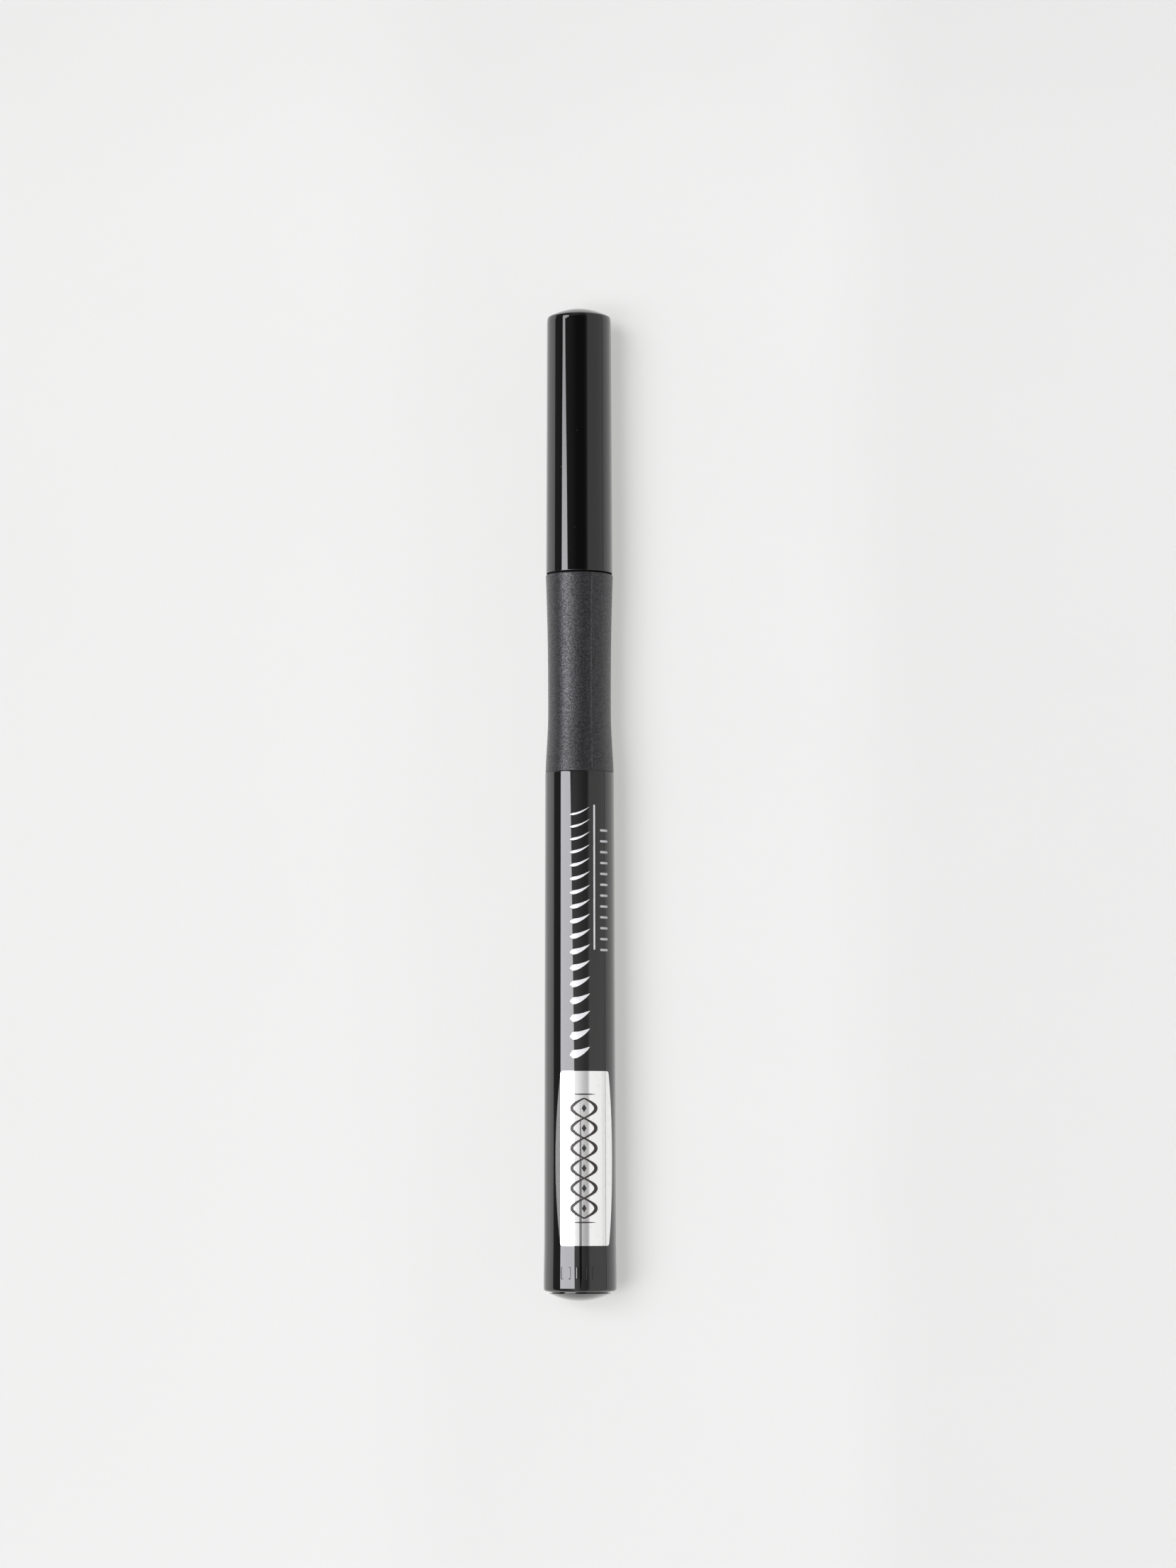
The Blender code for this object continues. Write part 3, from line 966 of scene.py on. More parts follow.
@dataclass
class Cap:
    """The cap with its sealing cup and the spring between them.

    Attributes:
        taper: how much thinner the shell is at its closed end, on the radius.
        wall: the shell's wall at its mouth.
        end_wall: the wall behind the dome.
        crown_short: how far the dome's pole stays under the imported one.
        rim_round: the rounding between side and dome.
        rim_turn: the slope at which that rounding meets the dome.
        shoulder_round: the soft rounding that leads the side into it.
        shoulder_turn: the slope at which the two roundings meet.
        dome_rise: how far the dome stands beyond the rim.
        mouth_round: the rounding of the mouth's edges.
        groove_station: the snap groove's middle, from the mouth.
        groove_length: the snap groove's length.
        groove_depth: the snap groove's depth.
        groove_round: the rounding of its edges.
        rib_length: the length of the rib that draws the cup off.
        rib_lap: how far the rib stands in from the bore.
        rib_gap: how far the rib stands before the cup's flange.
        rib_round: the rounding of the rib's edges.
        polish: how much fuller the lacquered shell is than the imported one, on the radius.
        cup_wall: the cup's wall.
        cup_end_wall: the wall that closes the cup.
        flange_length: the cup's flange.
        boss_height: the boss that centres the spring.
        boss_inset: how much smaller the boss is than the spring's bore.
        cup_round: the rounding of the boss's foot and of the flange.
        wire: the spring wire's diameter.
        turns: the spring's turns, of which one at each end lies closed.
    """

    taper: float = 0.143 * MM
    wall: float = 0.785 * MM
    end_wall: float = 0.72 * MM
    crown_short: float = 0.10 * MM
    rim_round: float = 0.35 * MM
    rim_turn: float = 60 * DEGREE
    shoulder_round: float = 4.0 * MM
    shoulder_turn: float = 10 * DEGREE
    dome_rise: float = 1.18 * MM
    mouth_round: float = 0.05 * MM
    groove_station: float = 3.2 * MM
    groove_length: float = 1.2 * MM
    groove_depth: float = 0.12 * MM
    groove_round: float = 0.05 * MM
    rib_length: float = 0.8 * MM
    rib_lap: float = 0.7 * MM
    rib_gap: float = 1.5 * MM
    rib_round: float = 0.1 * MM
    polish: float = 0.08 * MM
    cup_wall: float = 0.65 * MM
    cup_end_wall: float = 0.8 * MM
    flange_length: float = 1.0 * MM
    boss_height: float = 1.2 * MM
    boss_inset: float = 0.3 * MM
    cup_round: float = 0.12 * MM
    wire: float = 0.4 * MM
    turns: float = 5.5

    def shell_profile(self) -> Profile:
        """The shell from the dome's pole, down its side, and back up inside to the dome.

        Returns:
            The profile.
        """
        mouth, radius = SHELL.rear, SHELL.radius + self.polish
        end_radius = radius - self.taper
        easing, turning = self.shoulder_turn, self.rim_turn
        dome_base = SHELL.front - self.crown_short - self.dome_rise
        rim_foot = dome_base - self.rim_round * (sin(turning) - sin(easing))
        side_top = rim_foot - self.shoulder_round * sin(easing)
        rim_radius = end_radius - self.shoulder_round * (1 - cos(easing))
        chord = rim_radius - self.rim_round * (cos(easing) - cos(turning))
        rim_centre = (rim_radius - self.rim_round * cos(easing),
                      rim_foot - self.rim_round * sin(easing))
        bore = SHELL.radius - self.wall
        groove_rear = mouth + self.groove_station - self.groove_length / 2
        groove_front = groove_rear + self.groove_length
        rib_front = CUP.front - self.boss_height - self.flange_length - self.rib_gap
        rib_rear = rib_front - self.rib_length
        top = dome_base - self.rim_round * sin(turning) - self.end_wall
        points = dome(chord, self.dome_rise, dome_base, 16)[:-1]
        points += arc(rim_centre, self.rim_round, turning, easing, 8)[:-1]
        points += arc((end_radius - self.shoulder_round, side_top), self.shoulder_round, easing, 0.0, 6)
        points += rounded([
            (end_radius, side_top, 0.0),
            (radius, mouth, self.mouth_round),
            (bore, mouth, self.mouth_round),
            (bore, groove_rear, self.groove_round),
            (bore + self.groove_depth, groove_rear + self.groove_depth, self.groove_round),
            (bore + self.groove_depth, groove_front - self.groove_depth, self.groove_round),
            (bore, groove_front, self.groove_round),
            (bore, rib_rear - self.rib_lap, self.rib_round),
            (bore - self.rib_lap, rib_rear, self.rib_round),
            (bore - self.rib_lap, rib_front, self.rib_round),
            (bore, rib_front, 0.08 * MM),
            (bore, top, 0.5 * MM),
            (0.0, top, 0.0),
        ])[1:]
        return points

    def cup_profile(self) -> Profile:
        """The sealing cup from the boss's face, over the flange to the mouth, and inside to its end.

        Returns:
            The profile.
        """
        flange_radius = CUP.radius
        flange_top = CUP.front - self.boss_height
        flange_foot = flange_top - self.flange_length
        radius = flange_radius - self.rib_lap
        bore = radius - self.cup_wall
        boss = SPRING.radius - self.wire - self.boss_inset
        return rounded([
            (0.0, CUP.front, 0.0),
            (boss, CUP.front, 0.25 * MM),
            (boss, flange_top, self.cup_round),
            (flange_radius, flange_top, self.cup_round),
            (flange_radius, flange_foot, self.cup_round),
            (radius, flange_foot, self.cup_round),
            (radius, CUP.rear, 0.2 * MM),
            (bore, CUP.rear, 0.25 * MM),
            (bore, flange_top - self.cup_end_wall, 0.6 * MM),
            (0.0, flange_top - self.cup_end_wall, 0.0),
        ])

    def spring_path(self) -> list[Vector]:
        """The wire's centreline, with one closed turn at each end.

        Returns:
            The points along it.
        """
        steps = 48
        rear, front = SPRING.rear + self.wire / 2, SPRING.front - self.wire / 2
        radius = SPRING.radius - self.wire / 2
        closed = 1.03 * self.wire
        total = round(self.turns * steps)
        path = []
        for i in range(total + 1):
            turn = i / steps
            left = self.turns - turn
            middle = (turn - 1) / (self.turns - 2)
            if turn < 1:
                station = rear + closed * turn
            elif left < 1:
                station = front - closed * left
            else:
                station = rear + closed + (front - rear - 2 * closed) * middle
            path.append(Vector(on_axis(radius, station, tau * turn)))
        return path

    def build(self, finishes: Finishes) -> None:
        """Builds the shell, the cup and the spring, and seats the shell and the cup on their bodies.

        Args:
            finishes: the finishes by name.
        """
        shell = Turning(self.shell_profile(), steps=192)
        shell.seat("cap_body", finishes, "cap_gloss", "cap_shell", Body.CAP)
        cup = Turning(self.cup_profile(), steps=120)
        cup.seat("sealing_cup", finishes, "inner_cap_natural", "inner_cap", Body.INNER_CAP)
        spring = swept_tube("cup_spring", self.spring_path(), self.wire / 2, 12, finishes["spring_steel"])
        bend(spring)
        declare(spring, "inner_cap_spring")


@dataclass
class WritingEnd:
    """What the cap covers: the nib, its holder and wick, and the front section.

    Attributes:
        holder_wall: the holder's wall.
        holder_reach: how far the holder stands out of the nozzle.
        holder_draft: how much thinner the holder is at its mouth, on the radius.
        nib_root: the nib's radius at its root.
        nib_end: the radius of its rounded point.
        nib_straight: the straight length at its root.
        nib_inset: how far its root reaches into the holder.
        neck_length: the neck, from the grip's shoulder.
        neck_drop: how much thinner the neck is than the spigot, on the radius.
        bead_station: the snap bead's middle, from the shoulder.
        bead_length: the bead's flat length.
        bead_height: how far the bead stands out.
        nozzle_length: the nozzle, in front of its sealing step.
        step_radius: the sealing step's radius.
        nozzle_radius: the nozzle's radius.
        shade_ring_radius: the radius of the dark matte ring between the grip and the cap's mouth, which is
            painted shade: it stands for the shadowed gap there.
        shade_ring_rear: where it starts, from the shoulder.
        shade_ring_length: its length.
        bore: the stem's bore.
        socket_gap: the room round the holder in its socket.
        socket_depth: the room behind it.
        guide: the length of the narrow bore behind the socket.
        funnel: the length over which that bore widens.
        belly: the power of the nib's curve.
        bend_share: how much of the nib its bend takes up, from its root.
    """

    holder_wall: float = 0.38 * MM
    holder_reach: float = 0.8 * MM
    holder_draft: float = 0.14 * MM
    nib_root: float = 0.55 * MM
    nib_end: float = 0.11 * MM
    nib_straight: float = 1.3 * MM
    nib_inset: float = 0.34 * MM
    neck_length: float = 7.0 * MM
    neck_drop: float = 0.35 * MM
    bead_station: float = 3.5 * MM
    bead_length: float = 0.5 * MM
    bead_height: float = 0.15 * MM
    nozzle_length: float = 4.0 * MM
    step_radius: float = 2.8 * MM
    nozzle_radius: float = 1.85 * MM
    shade_ring_radius: float = 4.56 * MM
    shade_ring_rear: float = 0.06 * MM
    shade_ring_length: float = 0.20 * MM
    bore: float = 2.4 * MM
    socket_gap: float = 0.2 * MM
    socket_depth: float = 0.3 * MM
    guide: float = 2.0 * MM
    funnel: float = 1.0 * MM
    belly: float = 1.35
    bend_share: float = 0.55

    def front_profile(self) -> Profile:
        """The front section as a ring, from the nozzle's mouth down its outside and back up inside.

        Returns:
            The profile.
        """
        shoulder = GRIP.front
        neck = FRONT.radius - self.neck_drop
        bead = shoulder + self.bead_station
        half, ramp = self.bead_length / 2, 2 * self.bead_height
        step = FRONT.front - self.nozzle_length
        holder_bore = HOLDER.radius - self.holder_wall
        socket = HOLDER.radius + self.socket_gap
        socket_foot = HOLDER.rear - self.socket_depth
        guide_foot = socket_foot - self.guide
        return rounded([
            (socket, FRONT.front, 0.08 * MM),
            (self.nozzle_radius, FRONT.front, 0.18 * MM),
            (self.nozzle_radius, step, 0.15 * MM),
            (self.step_radius, step, 0.2 * MM),
            (neck, shoulder + self.neck_length, 0.5 * MM),
            (neck, bead + half + ramp, 0.15 * MM),
            (neck + self.bead_height, bead + half, 0.15 * MM),
            (neck + self.bead_height, bead - half, 0.15 * MM),
            (neck, bead - half - ramp, 0.15 * MM),
            (neck, TUBE.front, 0.0),
            (FRONT.radius, TUBE.front, 0.1 * MM),
            (FRONT.radius, FRONT.rear, 0.3 * MM),
            (self.bore, FRONT.rear, 0.15 * MM),
            (self.bore, guide_foot - self.funnel, 0.3 * MM),
            (holder_bore, guide_foot, 0.2 * MM),
            (holder_bore, socket_foot, 0.05 * MM),
            (socket, socket_foot, 0.05 * MM),
        ], ring=True)

    def shade_ring_profile(self) -> Profile:
        """The dark ring round the neck, painted shade in the gap between grip and cap, as a ring.

        Returns:
            The profile.
        """
        rear = GRIP.front + self.shade_ring_rear
        front = rear + self.shade_ring_length
        sunk, eased = 0.02 * MM, 0.03 * MM
        neck = FRONT.radius - self.neck_drop - sunk
        return rounded([
            (neck, front, 0.0),
            (self.shade_ring_radius, front, eased),
            (self.shade_ring_radius, rear, eased),
            (neck, rear, 0.0),
        ], ring=True)

    def holder_profile(self) -> Profile:
        """The holder as a ring, drawn in and rounded at its mouth.

        Returns:
            The profile.
        """
        bore = HOLDER.radius - self.holder_wall
        return rounded([
            (bore, HOLDER.front, 0.06 * MM),
            (HOLDER.radius - self.holder_draft, HOLDER.front, 0.14 * MM),
            (HOLDER.radius, HOLDER.front - self.holder_reach, 0.1 * MM),
            (HOLDER.radius, HOLDER.rear, 0.12 * MM),
            (bore, HOLDER.rear, 0.06 * MM),
        ], ring=True)

    def nib_profile(self) -> Profile:
        """The nib from its rounded point, over a slight belly, to the root inside the holder.

        Returns:
            The profile.
        """
        root = NIB.rear - self.nib_inset
        straight_end = NIB.rear + self.nib_straight
        point = NIB.front - self.nib_end
        points = arc((0.0, point), self.nib_end, 90 * DEGREE, 8 * DEGREE, 8)
        points[0] = (0.0, NIB.front)
        swell = self.nib_root - self.nib_end
        for share in spread(1.0, 0.0, 26)[1:]:
            radius = self.nib_end + swell * (1 - share**self.belly)
            points.append((radius, straight_end + (point - straight_end) * share))
        points += [(self.nib_root, root), (0.0, root)]
        return points

    def wick_profile(self) -> Profile:
        """The wick, a plain rod with eased ends.

        Returns:
            The profile.
        """
        eased = 0.06 * MM
        return rounded([
            (0.0, WICK.front, 0.0),
            (WICK.radius, WICK.front, eased),
            (WICK.radius, WICK.rear, eased),
            (0.0, WICK.rear, 0.0),
        ])

    def build(self, finishes: Finishes) -> None:
        """Builds the five pieces and seats all but the nib on the pen.

        Args:
            finishes: the finishes by name.
        """
        front = Turning(self.front_profile(), ring=True)
        front.seat("nozzle_section", finishes, "front_plastic", "front_section")
        # The dark matte ring is painted shade: it darkens the gap between the grip and the cap's mouth.
        shade_ring = Turning(self.shade_ring_profile(), ring=True).build("painted_shade_ring", finishes["painted_shade_matte"])
        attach(shade_ring, Body.PEN.value)
        declare(shade_ring)
        holder = Turning(self.holder_profile(), ring=True, steps=96)
        holder.seat("nib_collar", finishes, "holder_plastic", "nib_holder")
        Turning(self.wick_profile(), steps=64).seat("wick_rod", finishes, "wick_fibre", "feed_wick")
        nib = Turning(self.nib_profile(), steps=96).build("flexible_nib", finishes["nib_fibre"])
        bend(nib)
        declare(nib, "nib_tip")


@dataclass
class Grip:
    """The waisted matte grip with its two mould lines.

    Attributes:
        wall: the wall at the waist.
        front_rise: how much thicker the grip is at its front than at its waist, on the radius.
        rear_rise: the same at its rear.
        waist_to_front: the length from the waist to the front edge.
        waist_to_swell: the even length behind the waist.
        swell_share: how much of the S-shaped swell the sleeve shows before its rear edge.
        edge: the rounding of both outer edges.
        reach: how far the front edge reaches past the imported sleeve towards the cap.
        mould_line: the angle of the mould line that shows from above.
        line_height: how far the mould lines stand proud.
        line_width: the half width of a mould line.
        line_fade: how far before the grip's ends the mould lines start to fade.
    """

    wall: float = 0.84 * MM
    front_rise: float = 0.303 * MM
    rear_rise: float = 0.36 * MM
    waist_to_front: float = 16.69 * MM
    waist_to_swell: float = 2.6 * MM
    swell_share: float = 0.88
    edge: float = 0.10 * MM
    reach: float = 0.05 * MM
    mould_line: float = 21.6 * DEGREE
    line_height: float = 0.055 * MM
    line_width: float = 0.11 * MM
    line_fade: float = 0.5 * MM

    def waist_radius(self) -> float:
        """The radius at the waist."""
        return GRIP.radius - self.rear_rise

    def outline(self) -> Profile:
        """The outside from front to rear: an even arc to the waist, then an S-shaped swell.

        Returns:
            The profile.
        """
        waist = GRIP.front - self.waist_to_front
        swell_top = waist - self.waist_to_swell
        swell_length = swell_top - GRIP.rear
        points = []
        for share in spread(1.0, 0.0, 33):
            points.append((self.waist_radius() + self.front_rise * share**2,
                           waist + (self.waist_to_front + self.reach) * share))
        for share in spread(0.0, 1.0, 29):
            swell = ease(self.swell_share * share) / ease(self.swell_share)
            points.append((self.waist_radius() + self.rear_rise * swell, swell_top - swell_length * share))
        return points

    def profile(self) -> Profile:
        """The grip as a ring, with rounded outer edges.

        Returns:
            The profile.
        """
        outline = self.outline()
        bore = self.waist_radius() - self.wall
        front, rear = outline[0], outline[-1]
        head = rounded([(bore, front[1], 0.0), front + (self.edge,), outline[1] + (0.0,)])
        foot = rounded([outline[-2] + (0.0,), rear + (self.edge,), (bore, rear[1], 0.0)])
        return head + outline[2:-2] + foot

    def relief(self, angle: float, station: float, radius: float) -> float:
        """How far a mould line stands proud on the outside, fading at both ends of the grip.

        Args:
            angle: the angle round the pen.
            station: the station.
            radius: the plain radius there.

        Returns:
            The height.
        """
        if radius < self.waist_radius():
            return 0.0
        away = abs((angle - self.mould_line + pi / 2) % pi - pi / 2) * self.waist_radius()
        near = min(away / self.line_width, 1.0)
        ends = min(station - GRIP.rear, GRIP.front - station)
        return self.line_height * (1 - ease(near)) * ease(ends / self.line_fade)

    def line_angles(self) -> list[float]:
        """The angles that the two mould lines need.

        Returns:
            The angles.
        """
        half = self.line_width / self.waist_radius()
        steps = [half * share for share in (-2.0, -1.0, -0.66, -0.33, 0.0, 0.33, 0.66, 1.0, 2.0)]
        return [line + step for line in (self.mould_line, self.mould_line + pi) for step in steps]

    def build(self, finishes: Finishes) -> None:
        """Builds the grip and seats it on the pen."""
        grip = Turning(self.profile(), True, 192, self.relief, self.line_angles())
        grip.seat("grip_skin", finishes, "grip_graphite", "grip_sleeve")


@dataclass
class Barrel:
    """The barrel and the domed plug that closes its tail.

    Attributes:
        front_radius: the radius at the grip.
        flare_start: where the flare begins, from the tail.
        flare_rise: how much the flare widens, on the radius.
        polish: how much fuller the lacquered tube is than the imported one, on the radius.
        band: the straight length of the rim.
        rim_past: how far the rim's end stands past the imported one.
        rim_round: the rounding of the rim.
        lip: the rim's width round the plug.
        lip_slope: how far the rim's face slopes in towards the plug.
        recess: how deep the plug's head is let in.
        bore: the barrel's bore.
        joint: what shows between grip and barrel.
        plug_gap: the gap round the plug's head.
        plug_slot: the dark groove between the rim and the plug's head.
        plug_neck: how much thinner the plug is behind its head, on the radius.
        plug_rise: the rise of the plug's dome.
        plug_proud: how far the dome's rim stands out of the barrel.
        plug_wall: the wall of the plug's spigot.
        plug_gap_under: the room under the plug's head.
        plug_end_wall: the wall that closes the spigot.
        plug_fit: how much thinner the spigot is than the bore, on the radius.
        plug_edge: the rounding between the plug's head and its dome.
    """

    front_radius: float = 4.71 * MM
    flare_start: float = 7.3 * MM
    flare_rise: float = 0.078 * MM
    polish: float = 0.11 * MM
    band: float = 0.90 * MM
    rim_past: float = 0.10 * MM
    rim_round: float = 0.44 * MM
    lip: float = 0.68 * MM
    lip_slope: float = 14 * DEGREE
    recess: float = 0.6 * MM
    bore: float = 3.9 * MM
    joint: float = 0.04 * MM
    plug_gap: float = 0.12 * MM
    plug_slot: float = 0.12 * MM
    plug_neck: float = 0.40 * MM
    plug_rise: float = 1.05 * MM
    plug_proud: float = 0.20 * MM
    plug_wall: float = 0.85 * MM
    plug_gap_under: float = 0.3 * MM
    plug_end_wall: float = 1.1 * MM
    plug_fit: float = 0.2 * MM
    plug_edge: float = 0.045 * MM

    def rim_radius(self) -> float:
        """The outer radius at the rim, the widest place."""
        return TUBE.radius + self.polish

    def rear(self) -> float:
        """The station of the rim's end."""
        return TUBE.rear - self.rim_past

    def flare(self) -> float:
        """The station where the flare begins."""
        return TUBE.rear + self.flare_start

    def band_top(self) -> float:
        """The station where the flare ends and the rim's straight band begins."""
        return self.rear() + self.rim_round + self.band

    def radius_at(self, station: float) -> float:
        """The barrel's outer radius at a station: an even taper, then the flare.

        Args:
            station: the station.

        Returns:
            The radius.
        """
        flare = self.flare()
        front_radius = self.front_radius + self.polish
        flare_radius = self.rim_radius() - self.flare_rise
        if station >= flare:
            share = (TUBE.front - station) / (TUBE.front - flare)
            return front_radius + (flare_radius - front_radius) * share
        return flare_radius + self.flare_rise * ease((flare - station) / (flare - self.band_top()))

    def profile(self) -> Profile:
        """The barrel as a ring, from its front edge down its outside and back up its bore.

        Returns:
            The profile.
        """
        front = GRIP.rear - self.joint
        flare = self.flare()
        recess_radius = self.rim_radius() - self.lip
        recess_top = TUBE.rear + self.recess
        turn = 90 * DEGREE - self.lip_slope
        rim_end = self.rim_radius() - self.rim_round * (1 - cos(turn))
        side_end = self.rear() + (rim_end - recess_radius) * tan(self.lip_slope)
        side_end += self.rim_round * sin(turn)
        head = rounded([
            (self.bore, front, 0.0),
            (self.radius_at(front), front, 0.06 * MM),
            (self.radius_at(flare), flare, 0.0),
        ])
        side = [(self.radius_at(station), station) for station in spread(flare, self.band_top(), 12)[1:]]
        rim = arc((self.rim_radius() - self.rim_round, side_end), self.rim_round, 0.0, -turn, 10)
        foot = rounded([
            rim[-1] + (0.0,),
            (recess_radius, self.rear(), 0.04 * MM),
            (recess_radius, recess_top, 0.05 * MM),
            (self.bore, recess_top, 0.0),
        ])
        return head + side + rim[:-1] + foot

    def plug_profile(self) -> Profile:
        """The plug: a hollow spigot inside the barrel and a domed head in its recess.

        Returns:
            The profile.
        """
        head_radius = self.rim_radius() - self.lip - self.plug_gap
        neck = head_radius - self.plug_neck
        head_top = TUBE.rear + self.recess - self.plug_gap_under
        spigot = self.bore - self.plug_fit
        cup, cup_end = spigot - self.plug_wall, head_top + self.plug_end_wall
        dome_base, slot = self.rear() - self.plug_proud, self.rear() - self.plug_slot
        bowl = dome(head_radius - self.plug_edge, self.plug_rise, dome_base, 18, way=-1)
        inside = rounded([
            (0.0, cup_end, 0.0),
            (cup, cup_end, 0.2 * MM),
            (cup, PLUG.front, 0.15 * MM),
            (spigot, PLUG.front, 0.3 * MM),
            (spigot, head_top, 0.0),
            (neck, head_top, 0.05 * MM),
            (neck, slot, 0.04 * MM),
            (head_radius, slot, 0.03 * MM),
            (head_radius, dome_base, self.plug_edge),
            bowl[-2] + (0.0,),
        ])
        return inside + list(reversed(bowl[:-2]))

    def build(self, finishes: Finishes) -> None:
        """Builds the barrel and its plug and seats them on the pen.

        Args:
            finishes: the finishes by name.
        """
        barrel = Turning(self.profile(), ring=True, steps=192)
        barrel.seat("barrel_body", finishes, "barrel_gloss", "barrel_tube")
        Turning(self.plug_profile()).seat("tail_dome", finishes, "plug_gloss", "tail_plug")


@dataclass
class Wrap:
    """Thin printed shapes laid on the barrel, each a closed film that follows its round.

    A place on the barrel is (across, station), where across is measured round the surface from its top.

    Attributes:
        barrel: the barrel that carries them.
        proud: how far the film stands out.
        sunk: how far it reaches in.
    """

    barrel: Barrel
    proud: float
    sunk: float = 0.03 * MM

    def __post_init__(self) -> None:
        """Starts with no shapes."""
        self.points: list = []
        self.faces: Faces = []

    def _lift(self, across: float, station: float, proud: float) -> Corner:
        """A point over the barrel."""
        radius = self.barrel.radius_at(station)
        return on_axis(radius + proud, station, across / radius)

    def ribbon(self, path: Sequence[Pair], halves: Sequence[float], columns: int = 1,
               crown: float = 0.0) -> None:
        """Adds a ribbon.

        Args:
            path: the (across, station) places that its middle follows.
            halves: its half width at each place.
            columns: how many strips it has across.
            crown: how much higher its middle is than its edges.
        """
        base = len(self.points)
        rows = len(path)
        wide = columns + 1
        for i, here in enumerate(path):
            behind, ahead = Vector(path[max(i - 1, 0)]), Vector(path[min(i + 1, rows - 1)])
            along = (ahead - behind).normalized()
            side = Vector((along.y, -along.x))
            for share in spread(-1.0, 1.0, wide):
                across, station = Vector(here) + side * halves[i] * share
                rise = self.proud + crown * (1 - share**2)
                self.points += [self._lift(across, station, height) for height in (rise, -self.sunk)]

        def face(*places: tuple[int, int, int]) -> None:
            """Adds a face between places, each a row, a column, and 1 for the underside."""
            self.faces.append(tuple(base + 2 * (row * wide + column) + low for row, column, low in places))

        for i in range(rows - 1):
            for j in range(columns):
                face((i, j, 0), (i, j + 1, 0), (i + 1, j + 1, 0), (i + 1, j, 0))
                face((i, j, 1), (i + 1, j, 1), (i + 1, j + 1, 1), (i, j + 1, 1))
            for j in (0, columns):
                face((i, j, 0), (i + 1, j, 0), (i + 1, j, 1), (i, j, 1))
        for i in (0, rows - 1):
            for j in range(columns):
                face((i, j, 0), (i, j + 1, 0), (i, j + 1, 1), (i, j, 1))

    def stroke(self, start: Pair, end: Pair, width: float, finish: StrokeEnd, steps: int = 12,
               crown: float = 0.0) -> None:
        """Adds a straight stroke.

        Args:
            start: the (across, station) place where it starts.
            end: the place where it ends.
            width: its width.
            finish: how its ends are shaped.
            steps: how many pieces it has along its length.
            crown: how much higher its middle is than its edges.
        """
        begin, finish_at = Vector(start), Vector(end)
        length = (finish_at - begin).length
        half = width / 2
        sharp = 0.02 * half
        if finish is StrokeEnd.POINTED:
            shares = spread(0.0, 1.0, steps + 1)
            halves = [max(half * sin(pi * share) ** 0.8, sharp) for share in shares]
        else:
            bow = spread(0.0, 90 * DEGREE, 7)
            end_share = half / length
            ends = [((1 - cos(turn)) * end_share, max(half * sin(turn), sharp)) for turn in bow]
            inner = [(share, half) for share in spread(end_share, 1 - end_share, steps)[1:-1]]
            both = ends + inner + [(1 - share, value) for share, value in reversed(ends)]
            shares = [share for share, _ in both]
            halves = [value for _, value in both]
        path = [tuple(begin.lerp(finish_at, share)) for share in shares]
        self.ribbon(path, halves, 2 if crown else 1, crown)

    def lozenge(self, centre: Pair, across: float, along: float) -> None:
        """Adds a lozenge.

        Args:
            centre: the (across, station) place of its middle.
            across: its half width.
            along: its half length.
        """
        stations = spread(-along, along, 13)
        path = [(centre[0], centre[1] + y) for y in stations]
        halves = [max(across * (1 - abs(y) / along), 0.01 * across) for y in stations]
        self.ribbon(path, halves, 2)

    def build(self, name: str, material: Material, slot: str | None = None) -> None:
        """Makes one piece of the shapes added so far, and seats it on the pen.

        Args:
            name: the piece's name.
            material: the finish that it wears.
            slot: not used.
        """
        piece = finish_mesh(name, self.points, self.faces, material, 30 * DEGREE)
        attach(piece, Body.PEN.value)
        declare(piece)


